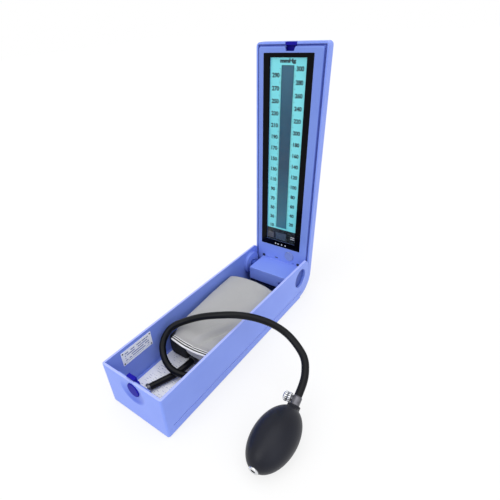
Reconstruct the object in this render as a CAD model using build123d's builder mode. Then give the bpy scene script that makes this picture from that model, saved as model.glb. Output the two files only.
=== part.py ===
from build123d import *
import os
from math import asin, cos, degrees, pi, radians, sin, sqrt, tan

# Mercury-free desk sphygmomanometer with its lid open, in millimetres. X runs across the
# tray, Y along it with the hinge at +Y, Z up. The origin is on the surface that the feet
# stand on, under the middle of the closed case.

os.makedirs("parts", exist_ok=True)

# Case
case_width = 97.0
case_length = 347.0
rim_height = 67.5
foot_stand = 1.0
tray_wall = 3.0
floor_height = 6.0
floor_thickness = 3.0
relief_border = 6.0
relief_corner = 5.0
corner_radius = 3.0
rim_round = 1.1
seam_gap = 0.6
groove_height = 1.2
groove_depth = 0.8
cut_reach = 5.0
cut_overlap = 0.1

# Hinge
hinge_to_rim = 24.5
lid_depth = 14.5
ear_radius = 28.7
drum_wall = 2.5
drum_end_angle = -8.0
cup_radius = 15.6
cup_depth = 5.0
cup_floor = 2.5
cup_ring = 2.2
pin_radius = 2.5
pin_head_radius = 5.0
pin_head_height = 1.2
pin_clearance = 0.1
hinge_cap_height = 1.6
hinge_cap_clearance = 0.3
hinge_cap_edge = 0.4
pin_nose = 0.6
bush_radius = 6.0
bush_clearance = 0.2
bush_edge = 0.6

# Lid
lid_wall = 2.4
lid_back_round = 4.0
lid_corner_radius = 5.0
heel_radius = 34.0
heel_clearance = 2.0
heel_mid_angle = -20.0
band_overlap = 4.7
bezel_proud = 2.5
bezel_skin = 2.3
bezel_plate = 1.6
bezel_recess = 1.4
bezel_clearance = 0.3
bezel_step = 1.8
bezel_round = 1.6
bezel_below_hinge = 1.5
bezel_corner = 2.5
panel_corner = 3.0
plate_gap = 2.0
hollow_gap = 0.6
post_height = 1.5
boss_radius = 3.4
boss_inset = 7.7
boss_from_end = 31.0
screw_radius = 1.4
screw_head_radius = 2.7
screw_head_height = 1.6
screw_recess = 0.3
front_screw_x = 32.0
front_screw_above = 7.0

# Display
display_x = -2.0
window_width = 68.8
window_above = 31.0
window_from_end = 11.0
window_thickness = 1.5
window_clearance = 0.15
window_corner = 1.0
view_width = 51.0
view_below = 9.0
view_above = 4.5
lcd_margin = 1.5
lcd_thickness = 2.4
lcd_corner = 1.0
backlight_thickness = 4.0
board_thickness = 1.6
board_above = 11.0
board_over_window = 1.0
board_side_gap = 1.5
board_corner = 2.0
chip_height = 1.4
chip_width = 12.0
chip_pitch = 60.0
small_chip_width = 7.0
small_chip_height = 4.5
small_chip_x = 18.0
small_chip_rise = 15.0

# Power button and buzzer, under the display
button_x = 15.0
button_above = 18.0
button_radius = 7.7
button_proud = 0.8
button_travel = 0.8
button_flange = 1.0
button_lip = 1.5
button_clearance = 0.35
button_dish = 0.5
button_round = 0.7
button_coil_radius = 5.6
button_wire_radius = 0.3
button_coil_turns = 1.5
switch_gap = 0.1
switch_width = 6.0
switch_body_share = 0.6
plunger_radius = 1.68
buzzer_x = -8.0
buzzer_above = 9.0
buzzer_radius = 5.5
buzzer_height = 2.5
buzzer_rim = 2.0
buzzer_well = 0.8
sound_slot_length = 6.0
sound_slot_width = 1.6
lamp_x = -23.0
lamp_radius = 2.0
lamp_sink = 1.2
lamp_hole_radius = 1.1

# Battery box, carried by the hinge pins
block_width = 67.0
block_front = 20.0
block_top = 5.0
block_bottom = 18.5
block_wall = 2.2
block_clearance = 0.7
block_round = 1.2
door_thickness = 1.8
door_hinge_inset = 3.2
door_clearance = 0.1
door_round = 0.7
battery_radius = 5.25
battery_length = 44.5
battery_gap = 1.4
battery_clearance = 0.5
battery_cap_radius = 1.89
battery_cap_height = 1.0
contact_gap = 2.4
contact_thickness = 0.5
contact_radius = 2.1

# Latch
scoop_radius = 19.5
scoop_depth = 3.0
scoop_wall = 1.3
scoop_below = 18.0
scoop_pad = 2.0
slider_width = 19.0
slider_thickness = 2.4
slider_below = 43.0
slider_gap = 0.3
slider_corner = 1.5
slider_below_rim = 1.0
push_width = 18.0
push_height = 20.0
push_below = 17.0
push_sink = 0.9
push_round = 0.8
hook_width = 12.0
hook_height = 3.9
hook_thickness = 1.8
hook_reach = 2.4
hook_root = 3.0
latch_coil_radius = 3.0
latch_wire_radius = 0.35
latch_coil_turns = 3.5
housing_wall = 2.2
housing_depth = 9.0
housing_below = 23.5
notch_width = 16.0
notch_height = 9.3
notch_depth = 5.6
notch_slant = 2.5
catch_thickness = 1.2
catch_lip = 3.1
catch_web = 1.5
catch_wing = 3.3
catch_gap = 0.2
catch_lip_gap = 0.4
catch_web_drop = 1.4
catch_wing_drop = 2.0

# Feet
foot_radius = 6.6
foot_pocket = 1.5
foot_clearance = 0.2
foot_inset = 14.0
foot_from_hinge = 12.0
pad_radius = 9.6

# Paper and plate
leaflet_thickness = 0.3
leaflet_gap = 2.0
plate_length = 50.0
plate_height = 21.5
plate_thickness = 0.5
plate_corner = 1.0
plate_setback = 25.0
plate_below = 16.5

# Cuff with its bladder
cuff_side_gap = 4.0
cuff_front_y = -62.0
cuff_rear_y = 78.0
cuff_height = 47.5
cuff_corner = 8.0
cuff_round = 4.0
cuff_foot_inset = 3.0
cuff_rear_lean = 2.0
cuff_rear_drop = 11.0
cuff_front_lean = 1.0
cuff_front_drop = 4.5
flap_reach = 22.0
flap_thickness = 5.0
flap_below = 11.5
flap_root = 12.0
flap_root_inset = 6.0
flap_shoulder_inset = 9.0
flap_left_inset = 17.0
flap_right_inset = 5.0
flap_right_root_inset = 4.0
flap_skew = 10.0
flap_corner = 3.0
bladder_width = 66.0
bladder_thickness = 8.0
bladder_clearance = 0.3
bladder_inset = 9.0
bladder_corner = 6.0
bladder_round = 2.0

# Hoses
hose_radius = 4.5
bend_share = 0.45
nozzle_above = 10.0
nozzle_radius = 6.2
nozzle_reach = 15.0
nozzle_round = 0.8
nozzle_x = 2.0
stub_radius = 5.2
stub_reach = 4.0
stub_x = 29.0
ferrule_radius = 5.3
ferrule_length = 4.0
ferrule_round = 0.6
plug_radius = 3.9
plug_length = 13.0
plug_bore = 1.5
plug_waist_depth = 0.7
plug_waist_half = 0.8
plug_waist_reach = 1.5
plug_taper = 2.5
plug_lip = 0.8
socket_depth = 6.8
socket_wall = 1.4
socket_inset = 9.5
socket_below = 9.0
socket_clearance = 0.1
socket_flange = 1.2
socket_back = 1.0
sensor_shift = 3.0
sensor_width = 17.0
sensor_height = 10.0
sensor_base = 1.0
sensor_port = 7.0

# Bulb with its valves
bulb_radius = 24.4
bulb_half_length = 41.2
bulb_wall = 2.2
bulb_x = 152.6
bulb_y = -117.1
bulb_tilt = 7.0
neck_sink = 5.2
neck_fillet = 4.0
neck_radius = 7.4
neck_length = 8.0
neck_bore = 3.6
valve_lean = 25.5
valve_turn = 5.1
valve_radius = 5.4
valve_length = 10.8
valve_spigot = 7.0
valve_lead = 1.0
valve_taper = 1.2
valve_lip = 0.2
hose_lead = 14.0
stem_radius = 1.5
stem_boss_radius = 3.4
stem_boss_height = 5.9
stem_tip = 0.5
knob_radius = 5.9
knob_length = 8.0
knob_grooves = 18
knob_groove_radius = 0.6
knob_groove_out = 0.15
knob_face_step = 1.0
knob_face_height = 0.7
knob_clearance = 0.4
inlet_radius = 5.6
inlet_spigot = 4.2
inlet_bore = 2.6
inlet_flange = 2.0
inlet_sink = 1.4
inlet_reach = 7.0
inlet_edge = 0.5
inlet_mouth = 0.8
inlet_flap_thickness = 0.8
inlet_flap_clearance = 0.4

# Places that follow from the sizes above
front_y = -case_length / 2
half_width = case_width / 2
inner_half = half_width - tray_wall
inner_front_y = front_y + tray_wall
lid_back_y = case_length / 2
lid_face_y = lid_back_y - lid_depth
hinge_y = lid_face_y - hinge_to_rim
hinge_z = rim_height - hinge_to_rim
lid_top_z = hinge_z + hinge_y - front_y
lid_seam_radius = ear_radius + seam_gap
ear_top_y = hinge_y + sqrt(ear_radius**2 - hinge_to_rim**2)
band_end_y = hinge_y + band_overlap
drum_radius = ear_radius - drum_wall
cup_floor_x = half_width - cup_depth
boss_face_x = cup_floor_x - cup_floor
lid_inner_half = half_width - lid_wall
lid_inner_back_y = lid_back_y - lid_wall
lid_inner_top_z = lid_top_z - lid_wall
bezel_front_y = lid_face_y - bezel_proud
bezel_skin_y = bezel_front_y + bezel_skin
bezel_plate_y = lid_face_y + bezel_recess
bezel_back_y = bezel_plate_y + bezel_plate
bezel_half = lid_inner_half - bezel_clearance
bezel_top_z = lid_inner_top_z - bezel_clearance
bezel_bottom_z = hinge_z - bezel_below_hinge
plate_bottom_z = hinge_z + sqrt((lid_seam_radius + plate_gap)**2 - hinge_to_rim**2)


def at_depth(y):
    # Sketch plane across the lid or tray at this Y; a positive extrusion goes to -Y
    return Plane.XZ.offset(-y)


def seam_point(radius, angle):
    # Point at this angle on a circle about the hinge, in the Y-Z plane
    return (hinge_y + radius * cos(radians(angle)), hinge_z + radius * sin(radians(angle)))


def below_hinge(radius, run):
    # Height of a circle about the hinge, low down, this far behind the hinge
    return hinge_z - sqrt(radius**2 - run**2)


# Tray: its side walls end in round ears about the hinge, with a drum wall between them
with BuildPart() as tray_body:
    with BuildSketch(Plane.YZ.offset(-half_width)):
        with BuildLine():
            band_top = (band_end_y, below_hinge(ear_radius, band_overlap))
            Polyline(band_top, (band_end_y, foot_stand), (front_y, foot_stand),
                     (front_y, rim_height), (ear_top_y, rim_height))
            ThreePointArc((ear_top_y, rim_height), seam_point(ear_radius, 0), band_top)
        make_face()
    extrude(amount=case_width)
    fillet(tray_body.edges().filter_by(Axis.Z).group_by(Axis.Y)[0], corner_radius)
    rim_edges = tray_body.faces().filter_by(Axis.Z).sort_by(Axis.Z)[-1].edges()
    fillet(rim_edges.sort_by(Axis.Y)[:-1], rim_round)
    base_edges = tray_body.faces().filter_by(Axis.Z).sort_by(Axis.Z)[0].edges()
    fillet(base_edges.sort_by(Axis.Y)[:-1], rim_round)
    # Inside, with the round drum that the battery box turns in
    with BuildSketch(Plane.YZ.offset(-inner_half)):
        with BuildLine():
            drum_foot = (hinge_y, hinge_z - drum_radius)
            drum_lip = seam_point(drum_radius, drum_end_angle)
            outside = seam_point(ear_radius + cut_reach, drum_end_angle)
            above = rim_height + cut_reach
            ThreePointArc(drum_foot, seam_point(drum_radius, (drum_end_angle - 90) / 2), drum_lip)
            Polyline(drum_lip, outside, (outside[0], above), (inner_front_y, above),
                     (inner_front_y, floor_height), (hinge_y, floor_height), drum_foot)
        make_face()
    extrude(amount=2 * inner_half, mode=Mode.SUBTRACT)
    # Relief under the floor, with a round pad and a pocket for each foot
    foot_spacing_x = case_width - 2 * foot_inset
    foot_spacing_y = hinge_y - foot_from_hinge - front_y - foot_inset
    foot_mid_y = (hinge_y - foot_from_hinge + front_y + foot_inset) / 2
    relief_front_y = front_y + relief_border
    relief_rear_y = hinge_y - relief_border / 2
    with BuildSketch(Plane.XY.offset(foot_stand)):
        with Locations((0, (relief_front_y + relief_rear_y) / 2)):
            RectangleRounded(case_width - 2 * relief_border, relief_rear_y - relief_front_y,
                             relief_corner)
        with Locations((0, foot_mid_y)):
            with GridLocations(foot_spacing_x, foot_spacing_y, 2, 2):
                Circle(pad_radius, mode=Mode.SUBTRACT)
    extrude(amount=floor_height - floor_thickness - foot_stand, mode=Mode.SUBTRACT)
    with BuildSketch(Plane.XY.offset(foot_stand)):
        with Locations((0, foot_mid_y)):
            with GridLocations(foot_spacing_x, foot_spacing_y, 2, 2):
                Circle(foot_radius + foot_clearance)
    extrude(amount=foot_pocket, mode=Mode.SUBTRACT)
    # Round hinge cups, sunk from outside into bosses on the inner walls
    for side in (-1, 1):
        with BuildSketch(Plane.YZ.offset(side * boss_face_x)):
            with Locations((hinge_y, hinge_z)):
                Circle(cup_radius + cup_ring)
        extrude(amount=side * (half_width - boss_face_x))
        with BuildSketch(Plane.YZ.offset(side * cup_floor_x)):
            with Locations((hinge_y, hinge_z)):
                Circle(cup_radius)
        extrude(amount=side * 2 * cup_depth, mode=Mode.SUBTRACT)
        with BuildSketch(Plane.YZ.offset(side * (cup_floor_x - pin_head_height))):
            with Locations((hinge_y, hinge_z)):
                Circle(pin_head_radius + pin_clearance)
        extrude(amount=side * cup_depth, mode=Mode.SUBTRACT)
        with BuildSketch(Plane.YZ.offset(side * (boss_face_x - 1))):
            with Locations((hinge_y, hinge_z)):
                Circle(pin_radius + pin_clearance)
        extrude(amount=side * (cup_floor + 2), mode=Mode.SUBTRACT)
    # Groove low on each side, which runs into the round seam behind
    groove_front_y = front_y + foot_inset - corner_radius
    groove_z = hinge_z - ear_radius - seam_gap / 2
    with Locations(*[(side * half_width, (groove_front_y + band_end_y) / 2, groove_z)
                     for side in (-1, 1)]):
        Box(2 * groove_depth, band_end_y - groove_front_y, groove_height, mode=Mode.SUBTRACT)
    # Pad behind the thumb scoop in the front wall
    scoop_z = rim_height - scoop_below
    scoop_floor_y = front_y + scoop_depth
    pad_back_y = scoop_floor_y + scoop_wall
    with BuildSketch(Plane.XY.offset(floor_height)):
        with Locations((0, (inner_front_y - 1 + pad_back_y) / 2)):
            Rectangle(2 * (scoop_radius + scoop_pad), pad_back_y - inner_front_y + 1)
    extrude(amount=rim_height - rim_round - floor_height)
    # Housing for the slider, with a shelf below it and a back wall for its spring
    rail_x = slider_width / 2 + slider_gap
    slider_low_z = rim_height - slider_below
    housing_top_z = rim_height - housing_below
    housing_inner_y = pad_back_y + housing_depth
    housing_back_y = housing_inner_y + housing_wall
    with BuildSketch(Plane.XY.offset(floor_height)):
        with Locations((0, (pad_back_y + housing_back_y) / 2)):
            Rectangle(2 * (rail_x + housing_wall), housing_back_y - pad_back_y)
    extrude(amount=housing_top_z - floor_height)
    with BuildSketch(Plane.XY.offset(slider_low_z - slider_gap)):
        with Locations((0, (pad_back_y + housing_inner_y) / 2)):
            Rectangle(2 * rail_x, housing_depth)
    extrude(amount=housing_top_z, mode=Mode.SUBTRACT)
    # The scoop is a shallow part of a sphere, with an oval hole for the push button
    scoop_sphere = (scoop_radius**2 + scoop_depth**2) / (2 * scoop_depth)
    with Locations((0, scoop_floor_y - scoop_sphere, scoop_z)):
        Sphere(scoop_sphere, mode=Mode.SUBTRACT)
    push_z = rim_height - push_below
    with BuildSketch(at_depth(pad_back_y + cut_overlap)):
        with Locations((0, push_z)):
            Ellipse(push_width / 2 + slider_gap, push_height / 2 + slider_gap)
    extrude(amount=scoop_wall + scoop_depth, mode=Mode.SUBTRACT)
tray_body.part.label = "tray_body"
export_step(tray_body.part, "parts/tray_body.step")

# Rubber feet in their pockets
with BuildPart() as rubber_feet:
    with BuildSketch(Plane.XY):
        with Locations((0, foot_mid_y)):
            with GridLocations(foot_spacing_x, foot_spacing_y, 2, 2):
                Circle(foot_radius)
    extrude(amount=foot_stand + foot_pocket)
    chamfer(rubber_feet.faces().filter_by(Axis.Z).group_by(Axis.Z)[0].edges(), foot_stand / 2)
rubber_feet.part.label = "rubber_feet"
export_step(rubber_feet.part, "parts/rubber_feet.step")

# Latch slider: plate behind the front wall, oval push button and a hook above the rim
slider_front_y = pad_back_y + slider_gap
slider_back_y = slider_front_y + slider_thickness
slider_top_z = rim_height - slider_below_rim
hook_top_z = rim_height + hook_height
with BuildPart() as latch_slider:
    with BuildSketch(at_depth(slider_back_y)):
        with Locations((0, (slider_low_z + slider_top_z) / 2)):
            RectangleRounded(slider_width, slider_top_z - slider_low_z, slider_corner)
    extrude(amount=slider_thickness)
    with BuildSketch(Plane.YZ.offset(-hook_width / 2)):
        with BuildLine():
            hook_low_z = hook_top_z - hook_thickness
            hook_root_z = rim_height - hook_root
            tooth_y = slider_front_y - hook_reach
            Polyline((slider_back_y, hook_root_z), (slider_back_y, hook_top_z),
                     (slider_front_y, hook_top_z), (tooth_y, hook_top_z - hook_thickness / 2),
                     (tooth_y, hook_low_z), (slider_front_y, hook_low_z),
                     (slider_front_y, hook_root_z), close=True)
        make_face()
    extrude(amount=hook_width)
    with BuildSketch(at_depth(slider_front_y)):
        with Locations((0, push_z)):
            Ellipse(push_width / 2, push_height / 2)
    extrude(amount=slider_front_y - front_y - push_sink)
    fillet(latch_slider.faces().sort_by(Axis.Y)[0].edges(), push_round)
latch_slider.part.label = "latch_slider"
export_step(latch_slider.part, "parts/latch_slider.step")


def wind_spring(name, centre_x, centre_z, seat_y, end_y, coil_radius, wire_radius, turns):
    # Compression spring along Y between two flat seats
    rise = end_y - seat_y - 2 * wire_radius
    with BuildPart() as spring:
        with BuildLine() as path:
            Helix(pitch=rise / turns, height=rise, radius=coil_radius,
                  center=(centre_x, seat_y + wire_radius, centre_z), direction=(0, 1, 0))
        with BuildSketch(Plane(origin=path.line @ 0, z_dir=path.line % 0)):
            Circle(wire_radius)
        sweep(path=path.line, is_frenet=True)
    spring.part.label = name
    export_step(spring.part, f"parts/{name}.step")


wind_spring("latch_spring", 0, (slider_low_z + housing_top_z) / 2, slider_back_y,
            housing_inner_y, latch_coil_radius, latch_wire_radius, latch_coil_turns)

# Hinge pins with flat heads, caps over them, and bushes beside the battery box
block_half = block_width / 2
for side, side_name in ((-1, "left"), (1, "right")):
    with BuildPart() as hinge_pin:
        with BuildSketch(Plane.YZ.offset(side * (block_half - block_wall))):
            with Locations((hinge_y, hinge_z)):
                Circle(pin_radius)
        extrude(amount=side * (cup_floor_x - block_half + block_wall))
        with BuildSketch(Plane.YZ.offset(side * cup_floor_x)):
            with Locations((hinge_y, hinge_z)):
                Circle(pin_head_radius)
        extrude(amount=-side * pin_head_height)
        nose = hinge_pin.faces().filter_by(Axis.X).sort_by(Axis.X, reverse=side < 0)[0]
        chamfer(nose.edges(), pin_nose)
    hinge_pin.part.label = f"hinge_pin_{side_name}"
    export_step(hinge_pin.part, f"parts/hinge_pin_{side_name}.step")

    with BuildPart() as hinge_cap:
        with BuildSketch(Plane.YZ.offset(side * cup_floor_x)):
            with Locations((hinge_y, hinge_z)):
                Circle(cup_radius - hinge_cap_clearance)
        extrude(amount=side * hinge_cap_height)
        cap_rim = hinge_cap.faces().sort_by(Axis.X)[-1 if side > 0 else 0].edges()
        chamfer(cap_rim, hinge_cap_edge)
    hinge_cap.part.label = f"hinge_cap_{side_name}"
    export_step(hinge_cap.part, f"parts/hinge_cap_{side_name}.step")

    with BuildPart() as hinge_bush:
        with BuildSketch(Plane.YZ.offset(side * block_half)):
            with Locations((hinge_y, hinge_z)):
                Circle(bush_radius)
                Circle(pin_radius + pin_clearance, mode=Mode.SUBTRACT)
        extrude(amount=side * (boss_face_x - block_half - bush_clearance))
        chamfer(hinge_bush.edges().filter_by(GeomType.CIRCLE).group_by(SortBy.RADIUS)[-1],
                bush_edge)
    hinge_bush.part.label = f"hinge_bush_{side_name}"
    export_step(hinge_bush.part, f"parts/hinge_bush_{side_name}.step")

# Lid cover: a long shallow shell whose heel wraps round the tray's ears
heel_y = lid_back_y - heel_radius
heel_z = heel_clearance + heel_radius
heel_end_y = band_end_y + seam_gap
boss_x = half_width - boss_inset
boss_low_z = plate_bottom_z + boss_from_end
boss_high_z = lid_top_z - boss_from_end
boss_points = [(side * boss_x, z) for side in (-1, 1)
               for z in (boss_low_z, (boss_low_z + boss_high_z) / 2, boss_high_z)]
front_screw_z = hinge_z + front_screw_above
front_screw_points = [(-front_screw_x, front_screw_z), (front_screw_x, front_screw_z)]
post_back_y = bezel_back_y + post_height
with BuildPart() as lid_cover:
    with BuildSketch(Plane.YZ.offset(-half_width)):
        with BuildLine():
            heel_low = (heel_end_y, heel_z - sqrt(heel_radius**2 - (heel_end_y - heel_y)**2))
            heel_in = (heel_end_y, below_hinge(lid_seam_radius, heel_end_y - hinge_y))
            seam_top = (lid_face_y, hinge_z + sqrt(lid_seam_radius**2 - hinge_to_rim**2))
            slant = heel_radius * sin(radians(45))
            ThreePointArc(heel_low, (heel_y + slant, heel_z - slant), (lid_back_y, heel_z))
            Polyline((lid_back_y, heel_z), (lid_back_y, lid_top_z), (lid_face_y, lid_top_z),
                     seam_top)
            ThreePointArc(seam_top, seam_point(lid_seam_radius, heel_mid_angle), heel_in)
            Line(heel_in, heel_low)
        make_face()
    extrude(amount=case_width)
    fillet(lid_cover.edges().filter_by(Axis.Y).group_by(Axis.Z)[-1], lid_corner_radius)
    fillet(lid_cover.edges().group_by(Axis.Y)[-1].sort_by(Axis.Z)[1:], lid_back_round)
    with BuildSketch(Plane.YZ.offset(-lid_inner_half)):
        with BuildLine():
            inner_heel = heel_radius - lid_wall
            end_wall_y = heel_end_y + lid_wall
            inner_low = (end_wall_y, heel_z - sqrt(inner_heel**2 - (end_wall_y - heel_y)**2))
            inner_slant = inner_heel * sin(radians(45))
            ThreePointArc(inner_low, (heel_y + inner_slant, heel_z - inner_slant),
                          (lid_inner_back_y, heel_z))
            Polyline((lid_inner_back_y, heel_z), (lid_inner_back_y, lid_inner_top_z),
                     (lid_face_y - cut_reach, lid_inner_top_z), (lid_face_y - cut_reach, hinge_z),
                     (end_wall_y, hinge_z), inner_low)
        make_face()
    extrude(amount=2 * lid_inner_half, mode=Mode.SUBTRACT)
    # Bosses on the back wall: three a side screwed from behind, two low ones from the front
    with BuildSketch(at_depth(lid_inner_back_y)):
        with Locations(*boss_points):
            Circle(boss_radius)
    extrude(amount=lid_inner_back_y - post_back_y)
    with BuildSketch(at_depth(lid_inner_back_y)):
        with Locations(*front_screw_points):
            Circle(boss_radius)
    extrude(amount=lid_inner_back_y - bezel_back_y)
    with BuildSketch(at_depth(lid_back_y)):
        with Locations(*boss_points):
            Circle(screw_radius + pin_clearance)
    extrude(amount=lid_back_y - bezel_back_y, mode=Mode.SUBTRACT)
    with BuildSketch(at_depth(lid_back_y)):
        with Locations(*boss_points):
            Circle(screw_head_radius + pin_clearance)
    extrude(amount=screw_head_height + screw_recess, mode=Mode.SUBTRACT)
    with BuildSketch(at_depth(lid_inner_back_y - 1)):
        with Locations(*front_screw_points):
            Circle(screw_radius)
    extrude(amount=lid_inner_back_y, mode=Mode.SUBTRACT)
    # Notch for the latch hook in the end wall
    with Locations((0, lid_face_y, lid_top_z)):
        Box(notch_width, 2 * notch_depth, 3 * lid_wall, mode=Mode.SUBTRACT)
lid_cover.part.label = "lid_cover"
export_step(lid_cover.part, "parts/lid_cover.step")

# Screws from the lid's back into the bezel's posts
with BuildPart() as lid_screws:
    head_seat_y = lid_back_y - screw_head_height - screw_recess
    with BuildSketch(at_depth(head_seat_y)):
        with Locations(*boss_points):
            Circle(screw_head_radius)
    extrude(amount=-screw_head_height)
    with BuildSketch(at_depth(head_seat_y)):
        with Locations(*boss_points):
            Circle(screw_radius)
    extrude(amount=head_seat_y - bezel_back_y)
lid_screws.part.label = "lid_screws"
export_step(lid_screws.part, "parts/lid_screws.step")

# Bezel: a raised panel with a window recess, on a plate that fits inside the cover
window_bottom_z = hinge_z + window_above
window_top_z = lid_top_z - window_from_end
window_mid_z = (window_bottom_z + window_top_z) / 2
window_height = window_top_z - window_bottom_z
view_bottom_z = window_bottom_z + view_below
view_top_z = window_top_z - view_above
view_mid_z = (view_bottom_z + view_top_z) / 2
view_height = view_top_z - view_bottom_z
panel_half = bezel_half - bezel_step
panel_top_z = bezel_top_z - bezel_step
hollow_half = boss_x - boss_radius - hollow_gap
button_z = hinge_z + button_above
buzzer_z = hinge_z + buzzer_above
notch_low_z = lid_top_z - notch_height
with BuildPart() as lid_bezel:
    with BuildSketch(at_depth(bezel_back_y)):
        with Locations((0, (plate_bottom_z + bezel_top_z) / 2)):
            RectangleRounded(2 * bezel_half, bezel_top_z - plate_bottom_z, bezel_corner)
    extrude(amount=bezel_plate)
    with BuildSketch(at_depth(bezel_back_y)):
        with Locations((0, (bezel_bottom_z + panel_top_z) / 2)):
            RectangleRounded(2 * panel_half, panel_top_z - bezel_bottom_z, panel_corner)
    extrude(amount=bezel_back_y - bezel_front_y)
    fillet(lid_bezel.faces().sort_by(Axis.Y)[0].edges(), bezel_round)
    # Hollow behind the panel, and the recess and opening for the display
    with BuildSketch(at_depth(bezel_back_y)):
        with Locations((0, (window_bottom_z + panel_top_z) / 2 - 1)):
            Rectangle(2 * hollow_half, panel_top_z - window_bottom_z)
    extrude(amount=bezel_back_y - bezel_skin_y, mode=Mode.SUBTRACT)
    with BuildSketch(at_depth(bezel_front_y + window_thickness)):
        with Locations((display_x, window_mid_z)):
            RectangleRounded(window_width + 2 * window_clearance,
                             window_height + 2 * window_clearance, window_corner)
    extrude(amount=window_thickness, mode=Mode.SUBTRACT)
    with BuildSketch(at_depth(bezel_back_y)):
        with Locations((display_x, view_mid_z)):
            Rectangle(view_width, view_height)
    extrude(amount=bezel_back_y - bezel_front_y, mode=Mode.SUBTRACT)
    # Holes for the button, sound and lamp, and the two screws seen from the front
    with BuildSketch(at_depth(bezel_back_y)):
        with Locations((button_x, button_z)):
            Circle(button_radius + button_clearance)
        with Locations((buzzer_x, buzzer_z)):
            SlotOverall(sound_slot_length, sound_slot_width)
        with Locations((-lamp_x, front_screw_z)):
            Circle(lamp_hole_radius)
        with Locations(*front_screw_points):
            Circle(screw_radius + pin_clearance)
    extrude(amount=bezel_back_y - bezel_front_y, mode=Mode.SUBTRACT)
    with BuildSketch(at_depth(bezel_front_y + screw_head_height + screw_recess)):
        with Locations(*front_screw_points):
            Circle(screw_head_radius + pin_clearance)
    extrude(amount=screw_head_height + screw_recess, mode=Mode.SUBTRACT)
    with Locations((lamp_x, bezel_front_y + lamp_sink, front_screw_z)):
        Sphere(lamp_radius)
    # Posts that meet the cover's bosses
    with BuildSketch(at_depth(post_back_y)):
        with Locations(*boss_points):
            Circle(boss_radius)
            Circle(screw_radius, mode=Mode.SUBTRACT)
    extrude(amount=post_height)
    # Notch for the latch hook at the free end
    with BuildSketch(at_depth(bezel_back_y)):
        with BuildLine():
            notch_low_half = notch_width / 2 - notch_slant
            Polyline((-notch_low_half, notch_low_z), (notch_low_half, notch_low_z),
                     (notch_width / 2, bezel_top_z), (-notch_width / 2, bezel_top_z), close=True)
        make_face()
    extrude(amount=bezel_back_y - bezel_front_y, mode=Mode.SUBTRACT)
lid_bezel.part.label = "lid_bezel"
export_step(lid_bezel.part, "parts/lid_bezel.step")

# Two screws through the bezel into the cover's low bosses
with BuildPart() as bezel_screws:
    face_seat_y = bezel_front_y + screw_head_height + screw_recess
    with BuildSketch(at_depth(face_seat_y)):
        with Locations(*front_screw_points):
            Circle(screw_head_radius)
    extrude(amount=screw_head_height)
    with BuildSketch(at_depth(face_seat_y)):
        with Locations(*front_screw_points):
            Circle(screw_radius)
    extrude(amount=face_seat_y - lid_inner_back_y + 1)
bezel_screws.part.label = "bezel_screws"
export_step(bezel_screws.part, "parts/bezel_screws.step")

# Catch: a lip across the lid's end that the hook grips, on a bracket behind the bezel
catch_back_y = lid_face_y + notch_depth - catch_gap
catch_face_y = catch_back_y - catch_thickness
catch_top_z = lid_top_z - catch_gap
catch_half = notch_width / 2 - bezel_clearance
wing_low_z = notch_low_z - catch_wing_drop
with BuildPart() as lid_catch:
    with BuildSketch(Plane.YZ.offset(-catch_half)):
        with BuildLine():
            lip_front_y = lid_face_y + catch_lip_gap
            web_back_y = lip_front_y + catch_web
            web_z = catch_top_z - catch_web_drop
            Polyline((lip_front_y, catch_top_z - catch_lip), (lip_front_y, catch_top_z),
                     (catch_back_y, catch_top_z), (catch_back_y, wing_low_z),
                     (catch_face_y, wing_low_z), (catch_face_y, web_z),
                     (web_back_y, web_z), (web_back_y, catch_top_z - catch_lip), close=True)
        make_face()
    extrude(amount=2 * catch_half)
    wing_top_z = panel_top_z + catch_lip_gap
    with BuildSketch(at_depth(catch_back_y)):
        for side in (-1, 1):
            with Locations((side * (catch_half + catch_wing / 2), (wing_low_z + wing_top_z) / 2)):
                Rectangle(catch_wing, wing_top_z - wing_low_z)
    extrude(amount=catch_back_y - bezel_back_y)
lid_catch.part.label = "lid_catch"
export_step(lid_catch.part, "parts/lid_catch.step")

# Display window, flush in the bezel's recess
with BuildPart() as display_window:
    with BuildSketch(at_depth(bezel_front_y + window_thickness)):
        with Locations((display_x, window_mid_z)):
            RectangleRounded(window_width, window_height, window_corner)
    extrude(amount=window_thickness)
display_window.part.label = "display_window"
export_step(display_window.part, "parts/display_window.step")

# Display stack behind the window: glass panel, light guide, circuit board
lcd_back_y = bezel_skin_y + lcd_thickness
board_front_y = lcd_back_y + backlight_thickness
board_back_y = board_front_y + board_thickness
with BuildPart() as lcd_panel:
    with BuildSketch(at_depth(lcd_back_y)):
        with Locations((display_x, view_mid_z)):
            Rectangle(view_width + 2 * lcd_margin, view_height + 2 * lcd_margin)
    extrude(amount=lcd_thickness)
lcd_panel.part.label = "lcd_panel"
export_step(lcd_panel.part, "parts/lcd_panel.step")

with BuildPart() as lcd_backlight:
    with BuildSketch(at_depth(board_front_y)):
        with Locations((display_x, view_mid_z)):
            RectangleRounded(view_width + 4 * lcd_margin, view_height + 4 * lcd_margin,
                             lcd_corner)
    extrude(amount=backlight_thickness)
lcd_backlight.part.label = "lcd_backlight"
export_step(lcd_backlight.part, "parts/lcd_backlight.step")

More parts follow.
